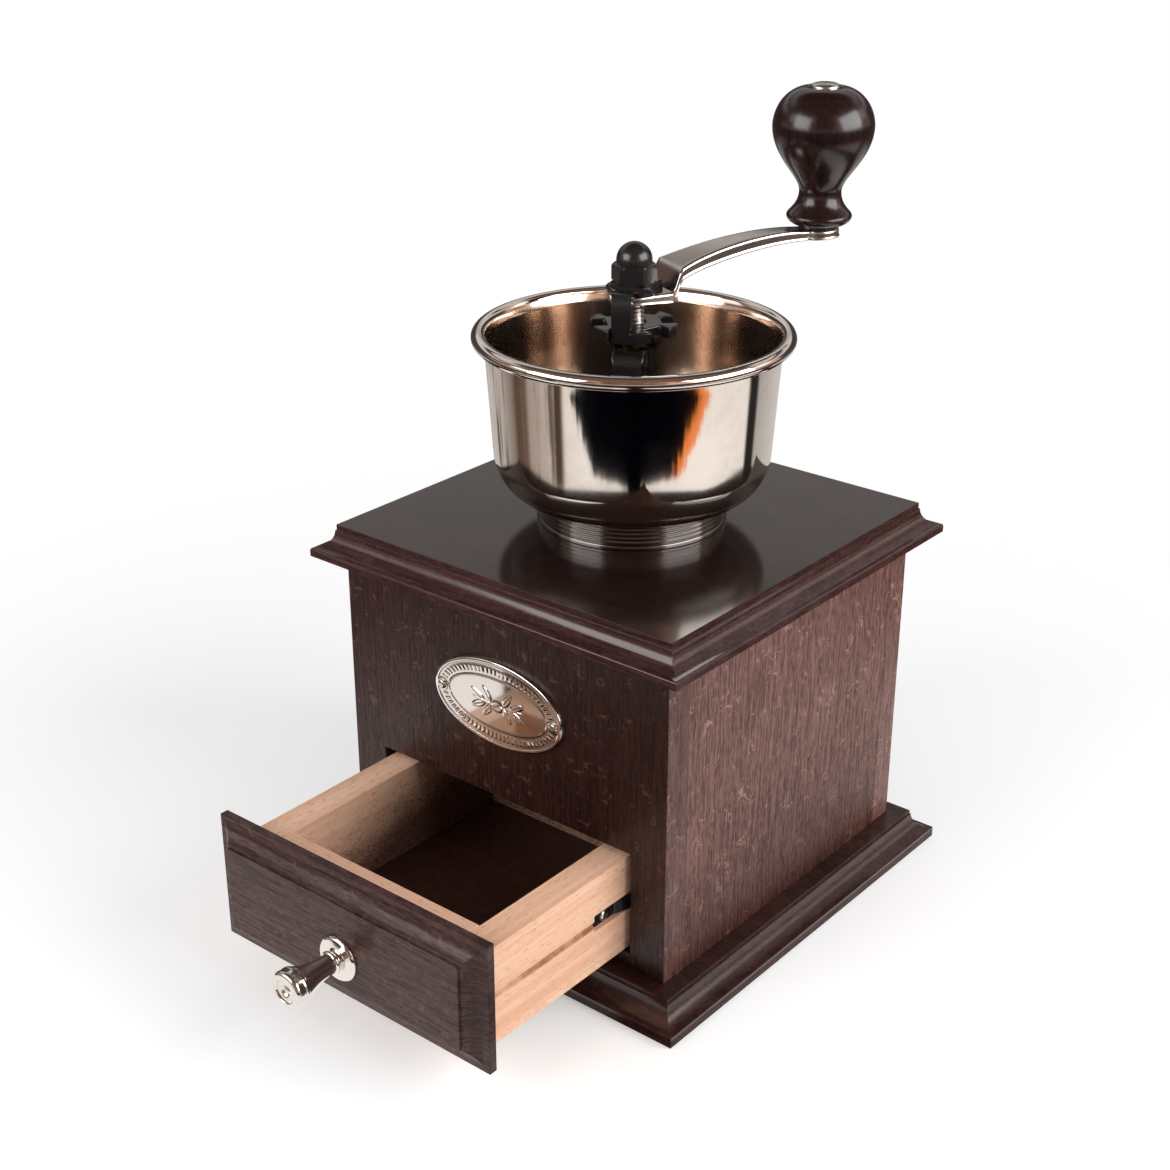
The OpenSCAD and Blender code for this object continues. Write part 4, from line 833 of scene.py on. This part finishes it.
def bent_strap():
    """The strap's middle line runs foot, leg, crown, leg, foot with its bends rounded. At each point a
    rounded rectangle stands square to the line: its long side lies across the arch, less on the legs, and its
    short side is the thickness."""
    half_line = [[22.8, 112.2], [15.7, 112.2], [8.35, 149.1]]
    line = eased(half_line + [[-r, z] for r, z in half_line[::-1]], [0, 2.4, 2.6, 2.6, 2.4, 0], 9)
    line = line[np.append(True, np.linalg.norm(np.diff(line, axis=0), axis=1) > 1e-4)]
    ahead = np.gradient(line, axis=0)
    ahead /= np.linalg.norm(ahead, axis=1)[:, None]
    normal = np.stack([-ahead[:, 1], ahead[:, 0]], 1)
    half_w, half_t = ARCH_W / 2, ARCH_T / 2
    section = eased([[-half_w, -half_t], [half_w, -half_t], [half_w, half_t], [-half_w, half_t]], 0.5, 4)
    flat = line[:, None, :] + normal[:, None, :] * section[None, :, 1:2]
    out = np.abs(line[:, :1])
    waist = 1 - (1 - LEG_W / ARCH_W) * ease(out, 8.4, 9.6) * ease(-out, -15.4, -14.2)
    across = np.broadcast_to(section[None, :, 0], flat.shape[:2]) * waist
    return capped(np.stack([*spun(flat[..., 0], across, ARCH_TURN), flat[..., 1]], -1) * MM)


enamel = black_enamel("black_enamel")
piece("bent_arch", skin(bent_strap(), crease=40), enamel, "cabinet", "black_steel", "bearing_arch")
oiled = bare_metal("oiled_bush", (0.030, 0.027, 0.026, 1), (0.16, 0.11, 0.06, 1), (0.18, 0.34), 0.00001,
                   (420.0, 3.0), (420.0, 3.0), (0.45, 0.70))
bush_line = eased([[3.05, 142.2], [3.6, 142.2], [3.6, 150], [6.5, 150], [6.5, 152.7], [3.05, 152.7]],
                  [0.05, 0.2, 0, 0.2, 0.35, 0.3])
piece("arch_bush", lathe(bush_line, 64), oiled, "cabinet", "bush_bronze", "upper_bush")


def slotted_head(radius, low, high, slot, deep, foot, turn=0.0, axis="Z"):
    """A screw head: a square grid pressed into a disc, x = u sqrt(1 - v v / 2) and y = v sqrt(1 - u u / 2).
    Its top is a shallow dome less a slot down the middle, its underside is flat, and both close at the rim.
    Millimetres."""
    half = slot / 2 / radius
    u = np.array([-1, -0.86, -0.6, -half - 0.04, -half, -half, half, half, half + 0.04, 0.6, 0.86, 1])
    down = np.array([0, 0, 0, 0, 0.15, 1, 1, 0.15, 0, 0, 0, 0])
    across, up = np.meshgrid(u, np.linspace(-1, 1, 17))
    x = across * np.sqrt(1 - up ** 2 / 2) * radius
    y = up * np.sqrt(1 - across ** 2 / 2) * radius
    dome = low + (high - low) * (0.55 + 0.45 * np.sqrt(np.clip(1 - (x ** 2 + y ** 2) / radius ** 2, 0, 1)))
    top = dome - down * deep
    x, y = np.concatenate([x, x[:, ::-1]], 1), np.concatenate([y, y[:, ::-1]], 1)
    z = np.concatenate([top, np.full_like(top, low)], 1)
    x, y, z = (np.concatenate([part[:1], part, part[-1:]]) for part in (x, y, z))
    z[0] = z[-1] = low
    x, y = spun(x, y, turn)
    grid = np.stack([x, y, z] if axis == "Z" else [x, -z, y], -1)
    return (grid + np.asarray(foot, float)) * MM


for sign, label, nodes in ((1, "front", ["arch_screws"]), (-1, "back", [])):
    centre = (*spun(sign * ARCH_SCREW_R, 0, ARCH_TURN), 0)
    head = slotted_head(3.1, 113.1, 114.9, 0.8, 0.8, centre, 0.7 + sign)
    piece("arch_screw_" + label, skin(head), zinc, "cabinet", "steel", *nodes)
    shank = lathe([[0, 91.3], [1.9, 91.3], [1.9, 113.2], [0, 113.2]], 24, centre)
    piece("arch_shank_" + label, shank, zinc, "cabinet", "steel")

# ---- Shaft and burr ----
# A steel shaft with a thick middle. The conical burr is fixed under its shoulder, a coil spring between the
# thick middle and the bush presses it down, and the top is threaded for the nut, the crank and the cap nut.
SHAFT_R, PITCH, THREAD_FROM, THREAD_TO, CREST_CUT, THREAD_DEEP = 3.0, 1.0, 152.5, 162.6, 0.25, 0.45
SPRING_Z, SPRING_LONG, SPRING_R, SPRING_TURNS, WIRE = 120.05, 21.35, 4.0, 7, 0.5


def around(radius, turn, high):
    """Carries rows of radius and height, in millimetres, round the axis."""
    return np.stack([radius * np.cos(turn), radius * np.sin(turn), high + 0 * turn], -1) * MM


def threaded_shaft():
    """Rows of radius and height carried round the axis. Between the bush and the crank the radius is less by
    a triangle wave of the height minus the turned angle, one pitch to a turn, which winds it into a
    thread."""
    body = [[0, 61.5], [2.6, 61.5], [SHAFT_R, 61.9], [SHAFT_R, 92.5], [SHAFT_R, 92.5], [5.2, 92.5],
            [5.2, 119.1], [4.8, 119.5], [SHAFT_R, 119.5]]
    thread = np.stack([np.full(116, SHAFT_R), np.linspace(148.0, 162.4, 116)], 1)
    rows = np.concatenate([body, thread, [[2.5, 162.4], [2.5, 172.6], [2.1, 173], [0, 173]]])
    angle = circle(48)
    high = rows[:, 1:2]
    wave = np.abs(((high / PITCH - angle / (2 * np.pi)) % 1) - 0.5) * 2
    cut = ease(high, THREAD_FROM, THREAD_FROM + 0.5) * ease(THREAD_TO - high, 0.1, 0.6)
    cut = cut * (rows[:, 0:1] == SHAFT_R)
    return around(rows[:, 0:1] - (CREST_CUT + THREAD_DEEP * wave) * cut, angle, high)


piece("threaded_shaft", skin(threaded_shaft(), crease=50), steel_bright, "spindle", "steel", "drive_shaft")
dress("inner_burr", burr_steel)
dress("burr_nut", zinc)


def coil():
    """Round wire wound round the shaft: each ring of wire stands at an angle a, its centre rises evenly with
    a, and the last half turn at each end lies flat. The ends close to a point."""
    a = np.linspace(0, SPRING_TURNS * 2 * np.pi, SPRING_TURNS * 28 + 1)[:, None]
    b = circle(12)[None, :]
    lap = a / (2 * np.pi)
    even_climb = np.clip((lap - 0.5) / (SPRING_TURNS - 1), 0, 1)
    climb = 0.35 * ease(lap, 0.35, SPRING_TURNS - 0.35) + 0.65 * even_climb
    return capped(around(SPRING_R + WIRE * np.cos(b), a, SPRING_Z + SPRING_LONG * climb + WIRE * np.sin(b)))


piece("wound_spring", skin(coil(), crease=70), steel_bright, "spindle", "steel", "coil_spring")

# ---- Adjusting nut, locking strap and cap nut ----
# The black notched nut sets how fine the mill grinds. The strap's bent leg drops into one of its notches, and
# the strap and the crank are held down on the shaft by a domed hexagon nut.
for node in ("adjusting_nut", "locking_strap"):
    softened(node, "spindle", enamel, 0.0004)
FLAT_HALF, NUT_Z, DOME_R, DOME_Z = 5.0, 166, 4.5, 171.5


def domed_nut():
    """Each row has a height and two limits on the radius, one for the hexagon and one for the turned outline.
    The hexagon's radius is its flat distance over the cosine of the angle from the nearest flat, and the
    smaller wins."""
    turn = circle(144)
    flat = FLAT_HALF / np.cos((turn + np.pi / 6) % (np.pi / 3) - np.pi / 6)
    limit = [[0, NUT_Z], [5.25, NUT_Z], [5.75, 166.35], [5.8, 167], [5.8, 169.6], [5.6, 170.1], [5.2, 170.5],
             [4.9, 170.6], [DOME_R, 170.75], [DOME_R, 171.2]]
    rows = np.concatenate([limit, sweep((0, DOME_Z), DOME_R, 0, 90, 14)])
    return around(np.minimum(rows[:, 0:1], flat), turn, rows[:, 1:2])


cap_enamel = black_enamel("cap_enamel", 0.30)
piece("domed_cap_nut", skin(domed_nut(), crease=32), cap_enamel, "spindle", "black_steel", "cap_nut")

# ---- Crank ----
# One nickel-plated pressing: a flat hub, a stepped shoulder, then a long arm that tapers to the knob. Its
# edges are turned down all round and end in a small rolled bead.
CRANK_TURN, THROW, HUB_R, ARM_HALF, NECK_HALF, EYE_R = math.radians(66), 53.5, 6.3, 6.6, 3.0, 5.5
HUB_FLAT, STEP_RUN, LOCK_Z, EYE_Z, ARM_STEP, BELLY = 7.5, 2.8, 163.7, 173.9, 5.8, 0.42
# The pressed edge, from the underside over the bead to the top face, as margins and depths below the top face
FLANK = [(1.3, 1.3), (1.3, 1.5), (1.3, 1.9), (1.2, 2.3), (0.9, 2.4), (0.45, 2.4), (0.12, 2.34), (0.0, 2.2),
         (0.02, 2.02), (0.20, 1.86), (0.24, 1.7), (0.20, 1.1), (0.20, 0.8), (0.26, 0.5), (0.40, 0.26),
         (0.62, 0.1), (0.95, 0.02), (1.5, 0.0)]


def pressed_crank():
    """Each row is the crank's outline taken in by a margin and set a depth below the top face, whose height
    follows the distance from the shaft. The low rows hang deeper halfway along, by a half sine. The rows run
    from the underside's middle line over the edge to the top's."""
    step, arm_z = HUB_FLAT + STEP_RUN, LOCK_Z + ARM_STEP
    rise = np.linspace(0, 1, 9)[1:]
    shoulder_line = np.stack([HUB_FLAT + STEP_RUN * rise, LOCK_Z + ARM_STEP * rise ** 2 * (3 - 2 * rise)], 1)
    arm_line = cubic([step, arm_z], [THROW * 0.34, arm_z + 2.8], [THROW * 0.64, EYE_Z + 1.5],
                     [THROW - EYE_R, EYE_Z], 40)
    side = np.concatenate([[[-9, LOCK_Z], [HUB_FLAT, LOCK_Z]], shoulder_line, arm_line[1:],
                           [[THROW + EYE_R + 2, EYE_Z]]])

    def outline(margin):
        wide, neck, eye = ARM_HALF - margin, NECK_HALF - margin, EYE_R - margin
        meet = np.arcsin(neck / eye)
        hub = sweep((0, 0), HUB_R - margin, 180, 90, 14)
        joint = THROW - eye * np.cos(meet)
        shoulder = cubic(hub[-1], [step * 0.35, HUB_R - margin], [step * 0.5, wide], [step, wide], 16)[1:]
        run = cubic([step, wide], [step + 4.7, wide - 1.6], [THROW * 0.52, neck + 1], [joint, neck], 60)[1:]
        tip = sweep((THROW, 0), eye, 180 - math.degrees(meet), 0, 18)[1:]
        upper = np.concatenate([hub, shoulder, run, tip])
        return np.concatenate([upper, upper[-2:0:-1] * [1, -1]])

    belly = BELLY * np.sin(np.pi * np.clip(outline(0)[:, 0] / THROW, 0, 1))
    grid = np.stack([np.column_stack([outline(margin), deep * (1 + belly * ease(deep, 0.4, 2.0))])
                     for margin, deep in FLANK])
    spine = grid[[0, -1]].copy()
    spine[..., 0] = np.clip(spine[..., 0], 0, THROW)
    spine[..., 1] = 0
    grid = np.concatenate([spine[:1], grid, spine[1:]])
    high = np.interp(grid[..., 0], side[:, 0], side[:, 1]) - grid[..., 2]
    return np.stack([*spun(grid[..., 0], grid[..., 1], CRANK_TURN), high], -1) * MM


arm_metal = nickel("arm_nickel", (0.68, 0.645, 0.615, 1), (0.55, 0.515, 0.49, 1), 0.17, 0.14, 0.000004)
piece("pressed_crank", skin(pressed_crank(), crease=50), arm_metal, "spindle", "nickel", "crank_arm")

# ---- Crank knob ----
# A pear-shaped knob turned in beech and dipped in dark red-brown lacquer. It spins on a steel pin that is
# riveted through the crank's eye over a thin washer, with the pin's domed head let into the knob's top.
KNOB = (*spun(THROW, 0, CRANK_TURN), 0)
KNOB_Z, KNOB_H, KNOB_R, FOOT_R, NECK_R, BORE_R = 174.9, 34.2, 12.9, 8.4, 5.4, 2.05
# Where the knob's curves meet, as radius and height: the foot's edge, the cove's start, the neck and the
# belly
FOOT_END, COVE = [FOOT_R, KNOB_H * 0.053], [FOOT_R * 0.88, KNOB_H * 0.10]
NECK, WIDEST = [NECK_R, KNOB_H * 0.243], [KNOB_R, KNOB_H * 0.725]
knob_line = np.concatenate([
    [[BORE_R, 0], [FOOT_R * 0.82, 0]],
    cubic([FOOT_R * 0.84, 0.14], [FOOT_R * 0.92, 0.41], [FOOT_R * 0.98, 1.03], FOOT_END, 8),
    cubic(FOOT_END, [FOOT_R * 1.01, KNOB_H * 0.07], [FOOT_R * 0.93, KNOB_H * 0.086], COVE, 8)[1:],
    cubic(COVE, [FOOT_R * 0.76, KNOB_H * 0.135], [NECK_R, KNOB_H * 0.17], NECK, 18)[1:],
    cubic(NECK, [NECK_R * 1.03, KNOB_H * 0.355], [KNOB_R, KNOB_H * 0.49], WIDEST, 26)[1:],
    cubic(WIDEST, [KNOB_R * 0.98, KNOB_H * 0.875], [KNOB_R * 0.70, KNOB_H * 0.99], [4.9, KNOB_H], 26)[1:],
    [[4.2, KNOB_H - 0.05], [4.0, KNOB_H - 0.3], [4.0, KNOB_H - 1.2], [BORE_R, KNOB_H - 1.2]]]) + [0, KNOB_Z]
lacquer, shader, where = material("knob_lacquer")
figure = noise(where, (900, 900, 30), 3.0)
dial(shader, {
    "Base Color": tint(between(figure, 0.3, 0.7), srgb(24, 8, 9), srgb(34, 13, 14)),
    "Roughness": between(figure, 0.3, 0.7, 0.24, 0.30), "Specular IOR Level": 0.2, "Coat Weight": 0.9,
    "Coat Roughness": 0.20})
emboss(shader, noise(where, 240.0, 1.0), 0.00004)
piece("turned_knob", lathe(knob_line, 128, KNOB, crease=50), lacquer, "crank_knob", "knob_lacquer",
      "crank_knob")

pin_line = eased([[0, 171.6], [2.6, 171.6], [2.9, 171.9], [2.9, 172.6], [2, 172.6], [2, 208.2], [3.7, 208.2],
                  [3.7, 209.2], [3.45, 209.7], [2.7, 210.0], [1.5, 210.18], [0, 210.2]],
                 [0, 0.2, 0.2, 0.05, 0, 0, 0.1, 0.3, 0.3, 0.4, 0.5, 0])
piece("knob_rivet", lathe(pin_line, 64, KNOB), steel_bright, "spindle", "steel", "knob_pin")
washer_line = eased([[BORE_R, EYE_Z], [5.2, EYE_Z], [5.2, 174.6], [BORE_R, 174.6]], 0.2)
piece("rivet_washer", lathe(washer_line, 64, KNOB), enamel, "spindle", "black_steel", "knob_washer")

# ---- Drawer front ----
# One oak board with a hollow moulding round a raised field, its grain running from side to side. It covers
# the opening and is glued to the drawer's own front wall.
DRAWER_BOARD = (GRAIN_ACROSS, (44, 25, 22), (84, 56, 52), (112, 80, 72), 0.4, (0.9, 0.6, 0.15))
# Painted shade: the drawer front is darker along its right border, in the moulding's hollow there
oak_drawer = oak("oak_drawer", DRAWER_BOARD, 0.44, coat=0.3, gloss=0.25, shine=0.15,
                 painted_shade=(0, 0.0415, 0.0385, 0.6))
softened("drawer_front", "drawer", oak_drawer, 0.0003)

# ---- Drawer box ----
# Sanded beech, grooved and glued: two sides, a back, an inner front and a thin bottom sheet. Each side has a
# scribed line and a slot for a spring outside. Coffee has stained the inside of the bottom and the walls near
# it, and painted shade darkens them more towards the case.
WALL_STAIN_AND_SHADE, SHEET_STAIN_AND_SHADE = (0.022, 0.92), (0.030, 1.0)
beech_side = beech("beech_side", GRAIN_BACK, (0.1, 0, 0.3), *WALL_STAIN_AND_SHADE)
beech_cross = beech("beech_cross", GRAIN_ACROSS, (0.4, 0.2, 0), *WALL_STAIN_AND_SHADE)
beech_sheet = beech("beech_sheet", GRAIN_ACROSS, (0.2, 0.7, 0), *SHEET_STAIN_AND_SHADE)
for node, finish, arris in (
        ("drawer_inner_front", beech_cross, 0.00035), ("drawer_left_side", beech_side, 0.00035),
        ("drawer_right_side", beech_side, 0.00035), ("drawer_back", beech_cross, 0.00035),
        ("drawer_bottom", beech_sheet, 0.0002)):
    softened(node, "drawer", finish, arris)

# ---- Drawer springs ----
# A bowed leaf of black spring steel lies in the slot of each side and rubs on the opening, so the drawer
# stays put. Each is held at its front end by one round-headed rivet.
for node in ("left_leaf_spring", "right_leaf_spring"):
    softened(node, "drawer", enamel, 0.00008)
rivet_line = eased([[0, -4], [0.85, -4], [0.85, 0.5], [1.4, 0.5], [1.4, 0.65], [1.15, 0.88], [0.6, 1.0],
                    [0, 1.0]],
                   [0, 0.1, 0, 0.05, 0.1, 0.2, 0.2, 0])
RIVET_X, RIVET_Y, RIVET_Z = 38.6, -59.6, 27
for axis, side, label, nodes in (("X", RIVET_X, "right", ["spring_rivets"]), ("-X", -RIVET_X, "left", [])):
    piece("spring_rivet_" + label, lathe(rivet_line, 24, (side, RIVET_Y, RIVET_Z), axis), steel_bright,
          "drawer", "steel", *nodes)

# ---- Drawer knob ----
# A small nickel-plated knob turned with a bead, a waist and a stepped end, on a dished rosette. A slotted
# screw comes through from inside the drawer and holds both.
PULL, PULL_FOOT = (0, -105, 25.2), 7.6
pull_metal = nickel("pull_nickel", (0.82, 0.80, 0.77, 1), (0.70, 0.67, 0.64, 1), 0.09, 0.08)
rosette_line = eased([[BORE_R, 6], [6, 6], [6, 6.6], [5.5, 7.15], [4.9, 7.3], [3.6, PULL_FOOT],
                      [BORE_R, PULL_FOOT]],
                     [0, 0.15, 0.2, 0.3, 0.2, 0.3, 0.1])
piece("dished_rosette", lathe(rosette_line, 96, PULL, "-Y"), pull_metal, "drawer", "nickel", "drawer_rosette")
pull_line = np.concatenate([
    [[0, 0], [2.3, 0]], sweep((2.5, 1.2), 0.62, -80, 80, 9), [[2.5, 2.4], [2.55, 2.9]],
    cubic([2.55, 2.9], [2.75, 7.16], [3.5, 9.54], [4.55, 11.7], 16)[1:],
    [[4.62, 11.85], [4.62, 12.1], [4.85, 12.25]], sweep((4.35, 12.9), 0.65, -40, 40, 5),
    sweep((4.05, 14.95), 0.95, -10, 90, 10),
    [[3.1, 15.9], [2.95, 15.75], [2.8, 15.5], [1.6, 15.5], [1.4, 15.35], [1.0, 15.0], [0.7, 15.2], [0.4, 15.3],
     [0, 15.3]]]) + [0, PULL_FOOT]
piece("turned_pull", lathe(pull_line, 96, PULL, "-Y", 45), pull_metal, "drawer", "nickel", "drawer_knob")
inner_head = slotted_head(3.4, 0, 2.2, 0.8, 0.9, (0, 0, 0), 0.5, "-Y") * [1, -1, 1]
inner_head += np.array([0, -95.6, PULL[2]]) * MM
piece("pull_screw", skin(inner_head), zinc, "drawer", "steel", "drawer_knob_screw")
pull_shank = lathe([[0, -9.5], [2, -9.5], [2, 16.3], [0, 16.3]], 24, PULL, "-Y")
piece("pull_shank", pull_shank, zinc, "drawer", "steel")
